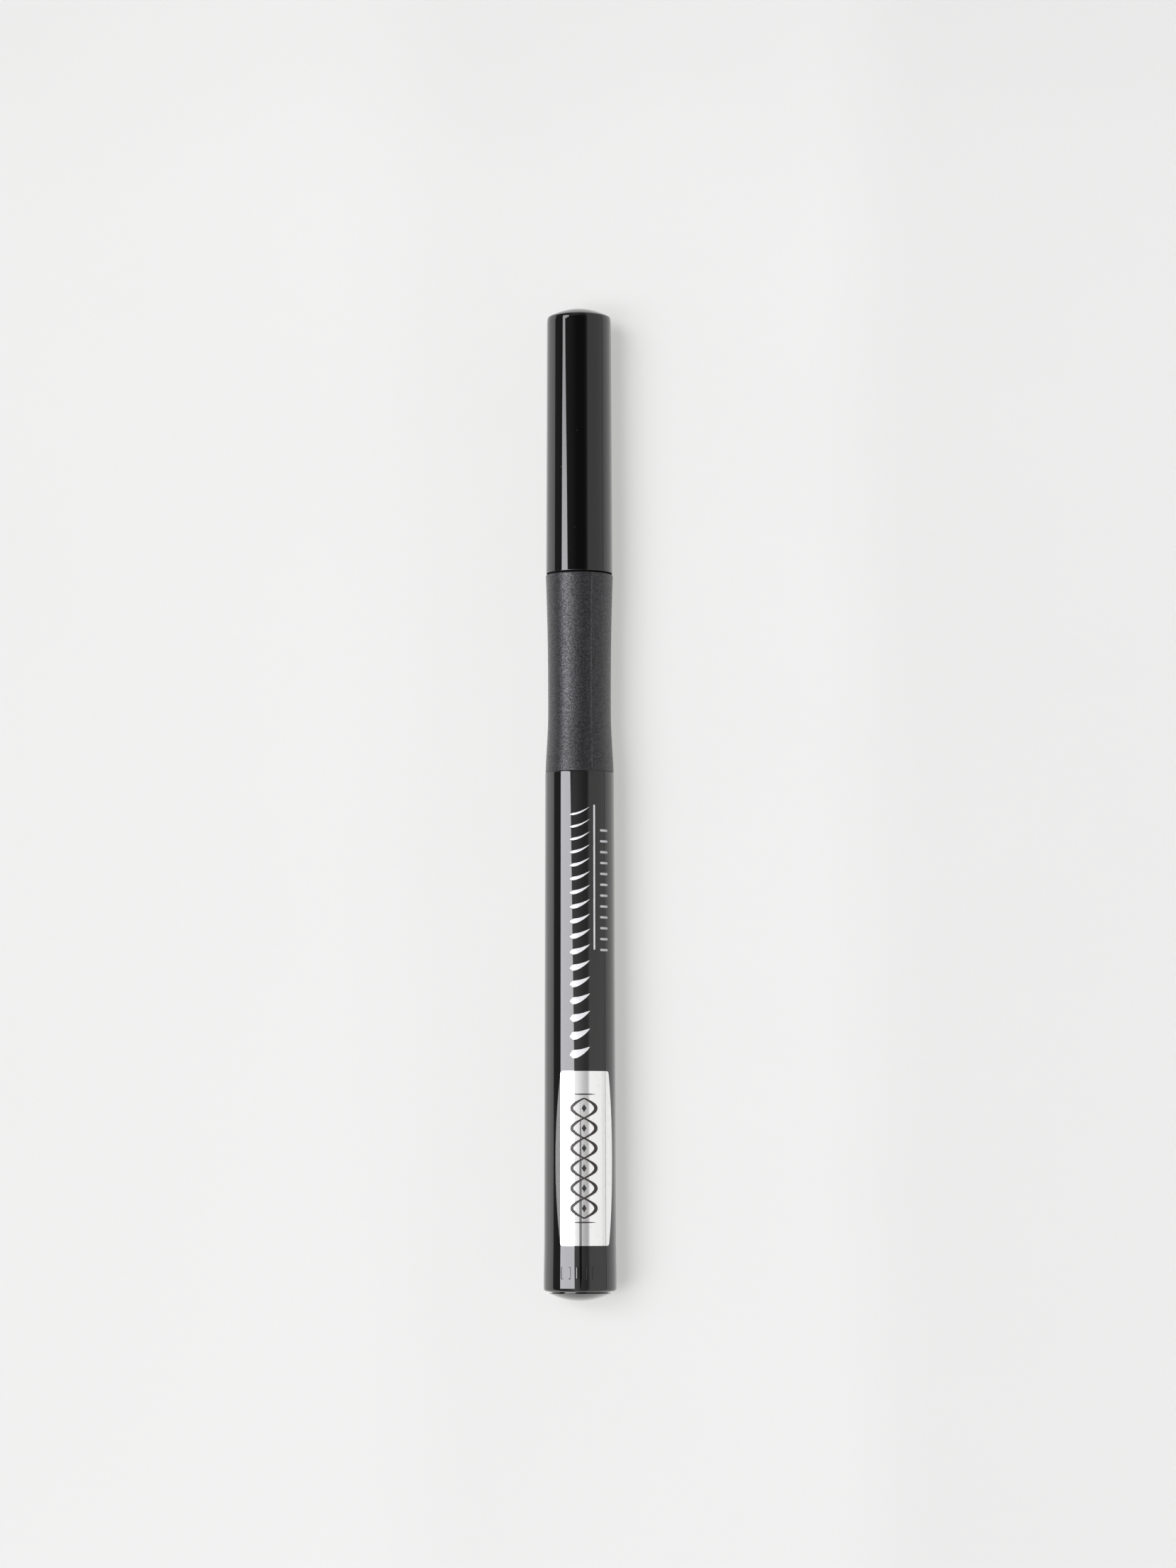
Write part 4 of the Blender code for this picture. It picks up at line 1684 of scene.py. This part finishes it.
@dataclass
class Printing:
    """The plain marks on the barrel: a line-weight scale, a rule, small dashes, and the silver panel.

    Attributes:
        barrel: the barrel that carries them.
        scale_front: where the scale starts, at its finest stroke.
        scale_rear: where it ends, at its boldest.
        scale_across: the strokes' left and right ends, round the surface.
        scale_count: how many strokes it has.
        scale_widths: the finest and the boldest stroke.
        growth: the power by which the strokes grow.
        slant: how far a stroke rises towards the cap.
        bow: how far it bows on the way.
        rule_across: the rule's place round the barrel.
        rule_past: how far the rule starts past the scale.
        rule_rear: the rule's rear end.
        rule_width: the rule's width.
        dash_across: the dashes' middle round the barrel.
        dash_reach: a dash's length.
        dash_width: a dash's width.
        dash_front: the first dash's station.
        dash_count: how many dashes there are.
        panel_front: the panel's front end.
        panel_rear: its rear end.
        panel_angle: the angle of its middle.
        panel_halves: its half angle at its ends and at its middle.
        panel_corner: the rounding of its corners.
        wave_reach: how far the panel's waves swing.
        wave_front: the waves' front end.
        wave_rear: their rear end.
        wave_count: how many full waves there are.
        wave_share: the waves' place, as a share of the way from the top to the panel's middle.
        wave_half: a wave's half width where it turns least.
        wave_swell: how much wider it is where it swings furthest.
        lozenge_half: a lozenge's half width and half length.
        end_rule_past: how far the rules at both ends stand past the waves.
        end_rule_width: their width.
        print_proud: how far the white print stands out.
        foil_proud: how far the panel stands out.
        ink_proud: how far the ink on it stands out.
        tick_station: the middle of the raised ticks near the rim.
        tick_length: a tick's length.
        tick_width: its width.
        tick_crown: how much higher its middle is than its edges.
        tick_proud: how far those edges stand out.
        tick_across: the first and the last tick's place round the barrel.
        tick_count: how many ticks there are.
    """

    barrel: Barrel
    scale_front: float = -1.1 * MM
    scale_rear: float = -36.2 * MM
    scale_across: Pair = (-1.38 * MM, 1.42 * MM)
    scale_count: int = 17
    scale_widths: Pair = (0.30 * MM, 1.15 * MM)
    growth: float = 1.3
    slant: float = 1.1 * MM
    bow: float = -0.25 * MM
    rule_across: float = 2.09 * MM
    rule_past: float = 0.15 * MM
    rule_rear: float = -21.1 * MM
    rule_width: float = 0.25 * MM
    dash_across: float = 3.75 * MM
    dash_reach: float = 1.45 * MM
    dash_width: float = 0.32 * MM
    dash_front: float = -4.5 * MM
    dash_count: int = 12
    panel_front: float = -37.85 * MM
    panel_rear: float = -61.87 * MM
    panel_angle: float = 10.2 * DEGREE
    panel_halves: Pair = (42.5 * DEGREE, 52.8 * DEGREE)
    panel_corner: float = 0.35 * MM
    wave_reach: float = 1.70 * MM
    wave_front: float = -41.6 * MM
    wave_rear: float = -58.1 * MM
    wave_count: float = 3.0
    wave_share: float = 0.65
    wave_half: float = 0.11 * MM
    wave_swell: float = 0.16 * MM
    lozenge_half: Pair = (0.34 * MM, 0.55 * MM)
    end_rule_past: float = 0.55 * MM
    end_rule_width: float = 0.2 * MM
    print_proud: float = 0.012 * MM
    foil_proud: float = 0.008 * MM
    ink_proud: float = 0.02 * MM
    tick_station: float = -65.6 * MM
    tick_length: float = 1.7 * MM
    tick_width: float = 0.34 * MM
    tick_crown: float = 0.035 * MM
    tick_proud: float = 0.004 * MM
    tick_across: Pair = (-2.6 * MM, 3.0 * MM)
    tick_count: int = 6

    def draw_scale(self, wrap: Wrap) -> None:
        """Draws the scale of strokes, which grow bolder towards the tail.

        Args:
            wrap: what carries the marks.
        """
        shares = spread(0.0, 1.0, self.scale_count)
        finest, boldest = self.scale_widths
        widths = [finest + (boldest - finest) * share**self.growth for share in shares]
        length = self.scale_front - self.scale_rear - self.slant
        room = (length - sum(widths)) / (self.scale_count - 1)
        station = self.scale_front - self.slant
        for width in widths:
            self._flick(wrap, station - width / 2, width)
            station -= width + room

    def _flick(self, wrap: Wrap, station: float, width: float) -> None:
        """Draws one slanted stroke, full at its left and drawn out to a point at its right.

        Args:
            wrap: what carries it.
            station: where its middle starts.
            width: its full width.
        """
        lead, swell, full, taper, hair = 0.05, 0.22, 0.3, 0.75, 0.012 * MM
        left, right = self.scale_across
        path, halves = [], []
        for share in spread(0.0, 1.0, 29):
            rise = self.slant * share + self.bow * sin(pi * share)
            path.append((left + (right - left) * share, station + rise))
            body = ease((share + lead) / swell) * (1 - max(share - full, 0.0) / (1 - full)) ** taper
            halves.append(max(width / 2 * body, hair))
        wrap.ribbon(path, halves, 2)

    def draw_rule(self, wrap: Wrap) -> None:
        """Draws the rule beside the scale."""
        ends = [(self.rule_across, end) for end in (self.scale_front + self.rule_past, self.rule_rear)]
        wrap.stroke(*ends, self.rule_width, StrokeEnd.ROUND, 40)

    def draw_dashes(self, wrap: Wrap) -> None:
        """Draws the row of small dashes.

        Args:
            wrap: what carries the marks.
        """
        left, right = self.dash_across - self.dash_reach / 2, self.dash_across + self.dash_reach / 2
        for station in spread(self.dash_front, self.rule_rear, self.dash_count):
            wrap.stroke((left, station), (right, station), self.dash_width, StrokeEnd.ROUND)

    def panel_middle(self) -> float:
        """The station of the panel's middle."""
        return (self.panel_front + self.panel_rear) / 2

    def panel_half(self, station: float) -> float:
        """The panel's half width round the surface at a station.

        Args:
            station: the station.

        Returns:
            The half width.
        """
        half_length = (self.panel_front - self.panel_rear) / 2
        away = abs(station - self.panel_middle())
        bow = 1 - (away / half_length) ** 2
        narrow, wide = self.panel_halves
        angle = narrow + (wide - narrow) * bow
        inset = max(self.panel_corner - (half_length - away), 0.0)
        corner = self.panel_corner - sqrt(max(self.panel_corner**2 - inset**2, 0.0))
        return angle * self.barrel.radius_at(station) - corner

    def draw_panel(self, wrap: Wrap) -> None:
        """Draws the silver panel with its bowed sides and rounded corners.

        Args:
            wrap: what carries the marks.
        """
        turns = spread(0.0, 90 * DEGREE, 7)
        front = [self.panel_front - self.panel_corner * (1 - cos(turn)) for turn in turns]
        rear = [self.panel_rear + self.panel_corner * (1 - cos(turn)) for turn in reversed(turns)]
        stations = front + spread(front[-1], rear[0], 60)[1:-1] + rear
        middle = self.panel_angle * self.barrel.radius_at(self.panel_middle())
        path = [(middle, station) for station in stations]
        wrap.ribbon(path, [self.panel_half(station) for station in stations], 64)

    def draw_waves(self, wrap: Wrap) -> None:
        """Draws two interlaced waves on the panel, with a lozenge in each eye and a rule at each end.

        Args:
            wrap: what carries the marks.
        """
        middle = self.wave_share * self.panel_angle * self.barrel.radius_at(self.panel_middle())
        length = self.wave_front - self.wave_rear
        shares = spread(0.0, 1.0, 241)
        for way in (1, -1):
            path, halves = [], []
            for share in shares:
                phase = tau * self.wave_count * share
                swing = sin(phase)
                path.append((middle + way * self.wave_reach * swing, self.wave_front - length * share))
                halves.append(self.wave_half + self.wave_swell * swing**2)
            wrap.ribbon(path, halves)
        eyes = round(2 * self.wave_count)
        for i in range(eyes):
            station = self.wave_front - length * (i + 0.5) / eyes
            wrap.lozenge((middle, station), *self.lozenge_half)
        for station in (self.wave_front + self.end_rule_past, self.wave_rear - self.end_rule_past):
            wrap.stroke((middle - self.wave_reach, station), (middle + self.wave_reach, station),
                        self.end_rule_width, StrokeEnd.POINTED, 24)

    def draw_ticks(self, wrap: Wrap) -> None:
        """Draws a row of plain ticks, raised in the plastic near the rim.

        Args:
            wrap: what carries the marks.
        """
        front, rear = self.tick_station + self.tick_length / 2, self.tick_station - self.tick_length / 2
        for across in spread(*self.tick_across, self.tick_count):
            wrap.stroke((across, front), (across, rear), self.tick_width, StrokeEnd.ROUND, 10,
                        self.tick_crown)

    def build(self, finishes: Finishes) -> None:
        """Lays every mark on the barrel.

        Args:
            finishes: the finishes by name.
        """
        for name, finish, draw, proud, slot in (
            ("line_weight_scale", "white_ink", self.draw_scale, self.print_proud, None),
            ("printed_rule", "white_ink", self.draw_rule, self.print_proud, None),
            ("printed_dashes", "white_ink", self.draw_dashes, self.print_proud, None),
            ("silver_panel", "silver_foil", self.draw_panel, self.foil_proud, None),
            ("panel_waves", "dark_ink", self.draw_waves, self.ink_proud, None),
            ("raised_ticks", "barrel_gloss", self.draw_ticks, self.tick_proud, "barrel_gloss"),
        ):
            wrap = Wrap(self.barrel, proud)
            draw(wrap)
            wrap.build(name, finishes[finish], slot)


def make_finishes(effects: EffectGroups, cap: Cap) -> Finishes:
    """Builds every finish of the pen.

    Args:
        effects: the shared effects.
        cap: the cap, whose rim wears.

    Returns:
        The materials by name.
    """
    cap_edges = (SHELL.rear, SHELL.front - cap.dome_rise)
    foil, thin_foil = (0.88,) * 3, (0.86 * 0.88,) * 3
    finishes = [
        GlossPlastic("cap_gloss", (0.0018, 0.0018, 0.0020), 0.035, 1.36, edges=cap_edges),
        GlossPlastic("barrel_gloss", (0.0030, 0.0030, 0.0031), 0.045, 1.385, edges=(TUBE.rear,)),
        GlossPlastic("plug_gloss", (0.0060, 0.0058, 0.0050), 0.10, 1.45, tint=(1.0, 0.98, 0.90)),
        GripPlastic("grip_graphite", (0.0075, 0.0075, 0.0095), 0.30, 1.40, edges=(GRIP.rear, GRIP.front)),
        MouldedPlastic("front_plastic", (0.012, 0.012, 0.012), 0.26),
        # Near black with almost no gloss: painted shade for the ring in the gap at the cap's mouth.
        MouldedPlastic("painted_shade_matte", (0.004, 0.004, 0.004), 0.60, 1.10),
        MouldedPlastic("inner_cap_natural", (0.72, 0.73, 0.71), 0.30, glow=0.35),
        MouldedPlastic("holder_plastic", (0.80, 0.80, 0.77), 0.28),
        DrawnSteel("spring_steel", (0.62, 0.61, 0.60), 0.20, metallic=1.0),
        FibrePack("nib_fibre", (0.010, 0.010, 0.011), 0.62),
        FibrePack("wick_fibre", (0.012, 0.012, 0.013), 0.78),
        FibrePack("core_fibre", (0.016, 0.016, 0.018), 0.85, scale=5200.0),
        ClearFilm("film_plastic", (0.70, 0.72, 0.74), 0.16),
        ThinLayer("white_ink", (0.84, 0.84, 0.84), 0.32, thin=(0.60, 0.60, 0.60)),
        ThinLayer("dark_ink", (0.028, 0.021, 0.019), 0.30, thin=(0.10, 0.09, 0.09)),
        ThinLayer("silver_foil", foil, 0.035, metallic=0.8, thin=thin_foil, grain=4200.0, sparse=0.82,
                  thinned=0.25, scuff=0.08, depth=0.0008 * MM),
    ]
    return {finish.name: finish.material(effects) for finish in finishes}


class Reservoir:
    """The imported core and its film, which keep their shapes and get their finishes."""

    def build(self, finishes: Finishes) -> None:
        """Dresses both nodes.

        Args:
            finishes: the finishes by name.
        """
        for node, slot in (("reservoir_core", "core_fibre"), ("reservoir_film", "film_plastic")):
            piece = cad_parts[node]
            piece.data.materials.clear()
            piece.data.materials.append(finishes[slot])
            log.info("%s: dressed", node)


@dataclass
class Studio:
    """The floor, the lights, the cards that the gloss reflects, and the camera.

    A lean is a direction's angle from straight up, towards +X.

    Attributes:
        floor_half: half the floor's side.
        floor_drop: how far the floor lies under the pen's rest plane.
        floor_glow: how much of the floor's paleness is its own.
        tones: the floor's darkest and palest tone.
        painted_light_left: painted light on the floor, which makes it paler to the pen's left.
        painted_shade_right: painted shade on the floor, which makes it darker far to the pen's right.
        painted_shade_top: painted shade on the floor beyond the cap's end.
        mottle: the floor's slow unevenness.
        painted_reflection_left: an extra glow of the floor to the pen's left that only reflections see: a
            painted reflection on the pen's left side.
        painted_reflection_right: the same to its right.
        box_direction: the softbox's angle from straight up, towards -X.
        box_distance: its distance from the pen.
        box_strength: its radiance.
        box_colour: its colour.
        box_outline: its outline, as pairs of a place up its face and a station.
        box_fade: how it fades along Y, towards the cap's end.
        side_card: the corners of the black card to the left.
        low_card: the corners of the low card to the right.
        over_card: the corners of the dark sheet over the cap's end.
        over_fade: how that sheet brightens along X.
        over_veil: how it thins out along X.
        card_glow: how bright the black cards glow; they are seen only in reflections.
        deep_glow: the same for the darkest sheets.
        lens_side: how far the camera's dark front stands to its right.
        lens_half: its half width and half length.
        ceiling: the ceiling that the gloss mirrors, by the lean.
        shade: what the room behind the softbox keeps of it, by the lean.
        ceiling_end: what the ceiling keeps towards the cap's end.
        dim: how much darker the ceiling is behind the tail, by the lean.
        dim_from: where that darker part begins, by the direction's Y.
        reflector: the reflector to the right, by the direction's Y.
        reflector_side: where the reflector takes over from the ceiling, by the lean.
        low: how much of the pale walls is in a direction, by its height.
        wall: the pale walls near the floor.
        scrim_rise: the light of the scrim to the upper left, by the lean.
        scrim_fall: what is left of it beyond its other side.
        scrim_ends: what is left of it beyond its ends.
        scrim_edge: what light comes from all round.
        camera_place: the camera's place, with its height above the pen's axis.
        camera_turn: its turn from straight down.
        focal_share: its focal length as a share of the picture's height.
    """

    floor_half: float = 5.0
    floor_drop: float = 0.14 * MM
    floor_glow: float = 0.455
    tones: Pair = (0.90, 1.05)
    painted_light_left: Span = Span(-38 * MM, -12 * MM, 1.035, 1.0)
    painted_shade_right: Span = Span(32 * MM, 50 * MM, 1.0, 0.960)
    painted_shade_top: Span = Span(80 * MM, 120 * MM, 1.0, 0.975)
    mottle: Span = Span(0.2, 0.8, -0.004, 0.004)
    painted_reflection_left: Span = Span(-10 * MM, -22 * MM, 0.0, 0.40)
    painted_reflection_right: Span = Span(10 * MM, 22 * MM, 0.0, 0.18)
    box_direction: float = 43 * DEGREE
    box_distance: float = 1.0
    box_strength: float = 9.2
    box_colour: Colour = (0.985, 0.975, 1.02)
    box_outline: Outline = (
        (-0.403, -0.115), (0.49, -0.115), (0.46, 0.0), (0.228, 0.093), (0.038, 0.170), (-0.018, 0.206),
        (-0.069, 0.226), (-0.1165, 0.249), (-0.15, 0.275), (0.10, 0.42), (0.10, 0.53), (-0.33, 0.53),
        (-0.302, 0.257), (-0.337, 0.235), (-0.362, 0.178), (-0.401, 0.10))
    box_fade: Span = Span(0.14, 0.27, 1.0, 0.70)
    side_card: Outline = ((-0.09, -0.4, 0.0), (-0.13, 0.4, 0.0), (-0.13, 0.4, 0.060), (-0.09, -0.4, 0.042))
    low_card: Outline = ((0.15, -0.4, 0.0035), (0.15, 0.4, 0.0035), (0.15, 0.4, 0.008), (0.15, -0.4, 0.008))
    over_card: Outline = ((-1.6, 0.125, 1.15), (0.75, 0.125, 1.15), (0.75, 0.6, 1.15), (-1.6, 0.6, 1.15))
    over_fade: Span = Span(-0.05, -0.95, 1.0, 3.0)
    over_veil: Span = Span(0.30, 0.70, 1.0, 0.0)
    card_glow: float = 0.18
    deep_glow: float = 0.06
    lens_side: float = 0.018
    lens_half: Pair = (0.045, 0.028)
    ceiling: Span = Span(-22 * DEGREE, 24 * DEGREE, 1.0, 0.46)
    shade: Span = Span(-45 * DEGREE, -20 * DEGREE, 0.30, 1.0)
    ceiling_end: Span = Span(0.02, 0.11, 1.0, 0.5)
    dim: Span = Span(-6 * DEGREE, 6 * DEGREE, 0.0, 0.28)
    dim_from: Span = Span(0.03, -0.01)
    reflector: Span = Span(0.02, 0.11, 1.03, 0.88)
    reflector_side: Span = Span(24 * DEGREE, 34 * DEGREE)
    low: Span = Span(0.19, 0.30, 1.0, 0.0)
    wall: float = 0.90
    scrim_rise: Span = Span(-56 * DEGREE, -36 * DEGREE, 0.0, 10.4)
    scrim_fall: Span = Span(-20 * DEGREE, -6 * DEGREE, 1.0, 0.0)
    scrim_ends: Span = Span(0.15, 0.50, 1.0, 0.0)
    scrim_edge: float = 0.20
    camera_place: Corner = (0.0011, -0.0553, 0.665)
    camera_turn: Corner = (4.95 * DEGREE, 0.0, -0.08 * DEGREE)
    focal_share: float = 6742.6 / 2212.0

    def lay_floor(self) -> None:
        """Lays the pale floor, with painted light and shade across it and a painted reflection beside the
        pen.
        """
        half = self.floor_half
        corners = [(-half, -half, 0.0), (half, -half, 0.0), (half, half, 0.0), (-half, half, 0.0)]
        finish = Finish("pale_floor", (0.40, 0.40, 0.395), 0.9)
        material, net, shader = finish.start(Specular_IOR_Level=0.1,
                                             Emission_Color=(1.0, 1.005, 0.975, 1.0))
        place = net.split(net.place())
        across = place["X"]
        # Painted light and shade: the floor is made paler to the pen's left and darker far to its right and
        # beyond the cap's end.
        painted_light_and_mottle = net.times(net.eased(across, self.painted_light_left), net.eased(across, self.painted_shade_right),
                         net.eased(place["Y"], self.painted_shade_top))
        painted_light_and_mottle = net.plus(painted_light_and_mottle, net.eased(net.noise(net.place(), 30.0), self.mottle))
        tone = net.ramp(painted_light_and_mottle, *self.tones)
        net.feed(shader.inputs["Base Color"], finish.varied(net, tone, *self.tones))
        # Painted reflection: the floor glows brighter beside the pen for reflections only, which lightens
        # the reflections on the pen's sides.
        sides = net.plus(net.eased(across, self.painted_reflection_left), net.eased(across, self.painted_reflection_right))
        painted_reflection = net.times(sides, net.node("LightPath").outputs["Is Glossy Ray"])
        level = net.times(self._seen_directly(net), self.floor_glow, painted_light_and_mottle)
        net.feed(shader.inputs["Emission Strength"], net.plus(level, painted_reflection))
        self._sheet("floor", corners, material).location.z = -self.floor_drop

    def _seen_directly(self, net: Net) -> Socket:
        """1 for rays from the camera, from reflections and through clear pieces, else 0."""
        path = net.node("LightPath").outputs
        return net.plus(path["Is Camera Ray"], path["Is Glossy Ray"], path["Is Transmission Ray"])

    def _sheet(self, name: str, corners: Sequence, material: Material) -> Piece:
        """Makes a flat sheet that belongs to the studio.

        Args:
            name: the sheet's name.
            corners: its corners in order.
            material: what it wears.

        Returns:
            The sheet.
        """
        mesh = bpy.data.meshes.new(name)
        mesh.from_pydata([tuple(corner) for corner in corners], [], [tuple(range(len(corners)))])
        mesh.materials.append(material)
        sheet = bpy.data.objects.new(name, mesh)
        bpy.context.scene.collection.objects.link(sheet)
        return sheet

    def _glow(self, name: str, strength: float, colour: Colour = (1.0, 1.0, 1.0),
              fade: tuple[str, Span] | None = None, veil: tuple[str, Span] | None = None) -> Material:
        """Makes a plain emitting material.

        Args:
            name: the material's name.
            strength: its radiance.
            colour: its colour.
            fade: an axis, and the share of the radiance along it.
            veil: the same for how solid the sheet is.

        Returns:
            The material.
        """
        material = bpy.data.materials.new(name)
        material.use_nodes = True
        net = Net(material.node_tree)
        net.tree.nodes.clear()
        split = net.split(net.place())
        emission = net.node("Emission", None, {"Color": (*colour, 1.0), "Strength": strength})
        if fade:
            axis, span = fade
            levels = (strength * span.before, strength * span.after)
            level = net.ramp(split[axis], span.low, span.high, *levels)
            net.feed(emission.inputs["Strength"], level)
        surface = emission.outputs[0]
        if veil:
            axis, span = veil
            clear = net.node("BsdfTransparent").outputs[0]
            solid = net.eased(split[axis], span)
            surface = net.node("MixShader", None, {0: solid, 1: clear, 2: surface}).outputs[0]
        net.node("OutputMaterial", None, {"Surface": surface})
        return material

    def hang_softbox(self) -> None:
        """Hangs the softbox to the left, with one slanted end towards the cap."""
        lean, reach = self.box_direction, self.box_distance
        centre = Vector((-reach * sin(lean), 0.0, reach * cos(lean)))
        upward = Vector((cos(lean), 0.0, sin(lean)))
        corners = [centre + upward * along + Vector((0.0, station, 0.0))
                   for along, station in self.box_outline]
        light = self._glow("softbox_light", self.box_strength, self.box_colour, ("Y", self.box_fade))
        box = self._sheet("softbox", corners, light)
        box.visible_camera = False
        box.visible_diffuse = False

    def stand_cards(self) -> None:
        """Stands the black cards that the gloss mirrors, and the dark front of the camera: glowing sheets
        seen only in reflections, which paint dark reflections, light nothing and cast no shadow.
        """
        wide, deep = self.lens_half
        across, station, height = self.camera_place
        across += self.lens_side
        lens = [(across + wide * cos(turn), station + deep * sin(turn), AXIS + height)
                for turn in spread(0.0, tau, 33)[:-1]]
        black = self._glow("black_card", self.card_glow)
        overhead = self._glow("overhead_black", self.deep_glow, fade=("X", self.over_fade),
                              veil=("X", self.over_veil))
        cards = (("side_card", self.side_card, black), ("low_card", self.low_card, black),
                 ("over_card", self.over_card, overhead),
                 ("lens_front", lens, self._glow("deep_black", self.deep_glow)))
        for name, corners, material in cards:
            card = self._sheet(name, corners, material)
            card.visible_camera = False
            card.visible_diffuse = False
            card.visible_shadow = False

    def _mirrored(self, net: Net, lean: Socket, split: Outputs) -> Socket:
        """The room that the gloss mirrors: a ceiling, a reflector, and pale walls under both.

        Args:
            net: the world's node tree.
            lean: the lean of each direction.
            split: the direction's X, Y and Z.

        Returns:
            The radiance.
        """
        station = split["Y"]
        dim = net.times(net.eased(station, self.dim_from), net.eased(lean, self.dim))
        ceiling = net.times(net.eased(lean, self.ceiling), net.eased(lean, self.shade),
                            net.eased(station, self.ceiling_end), net.maths("SUBTRACT", 1.0, dim))
        upper = net.blend(net.eased(lean, self.reflector_side), ceiling,
                          net.eased(station, self.reflector))
        low = net.eased(split["Z"], self.low)
        high = net.maths("SUBTRACT", 1.0, low)
        return net.plus(net.times(low, self.wall), net.times(high, upper))

    def light_world(self) -> None:
        """Lights the room with a scrim overhead, and lets the gloss mirror pale walls and a reflector."""
        world = bpy.data.worlds.new("studio")
        bpy.context.scene.world = world
        world.use_nodes = True
        net = Net(world.node_tree)
        net.tree.nodes.clear()
        split = net.split(net.node("TexCoord").outputs["Generated"])
        lean = net.maths("ARCTAN2", split["X"], split["Z"])
        mirrored = self._mirrored(net, lean, split)
        scrim = net.times(net.eased(lean, self.scrim_rise), net.eased(lean, self.scrim_fall),
                          net.eased(net.maths("ABSOLUTE", split["Y"]), self.scrim_ends))
        lighting = net.plus(scrim, self.scrim_edge)
        seen = self._seen_directly(net)
        unseen = net.maths("SUBTRACT", 1.0, seen)
        strength = net.plus(net.times(seen, mirrored), net.times(unseen, lighting))
        tint = net.mix(seen, (1.0, 0.99, 1.03), (1.0, 0.998, 0.985))
        background = net.node("Background", None, {"Color": tint, "Strength": strength})
        net.node("OutputWorld", None, {"Surface": background.outputs[0]})

    def set_camera(self) -> None:
        """Sets the camera over the pen, as the photograph was taken."""
        data = bpy.data.cameras.new("camera")
        data.sensor_fit = "AUTO"
        data.lens = self.focal_share * data.sensor_width
        data.clip_start = 0.01
        data.clip_end = 50.0
        camera = bpy.data.objects.new("camera", data)
        bpy.context.scene.collection.objects.link(camera)
        across, station, height = self.camera_place
        camera.location = (across, station, AXIS + height)
        camera.rotation_euler = self.camera_turn
        bpy.context.scene.camera = camera

    def build(self) -> None:
        """Sets up the whole studio."""
        bpy.context.scene.view_settings.view_transform = "Standard"
        self.lay_floor()
        self.hang_softbox()
        self.stand_cards()
        self.light_world()
        self.set_camera()


def main() -> None:
    """Builds the pen and its studio in order."""
    logging.basicConfig(level=logging.INFO, format="%(message)s")
    effects = EffectGroups()
    cap, barrel = Cap(), Barrel()
    finishes = make_finishes(effects, cap)
    for part in (cap, WritingEnd(), Grip(), barrel, Printing(barrel), Reservoir()):
        log.info("building %s", type(part).__name__)
        part.build(finishes)
    Studio().build()


if __name__ == "__main__":
    main()
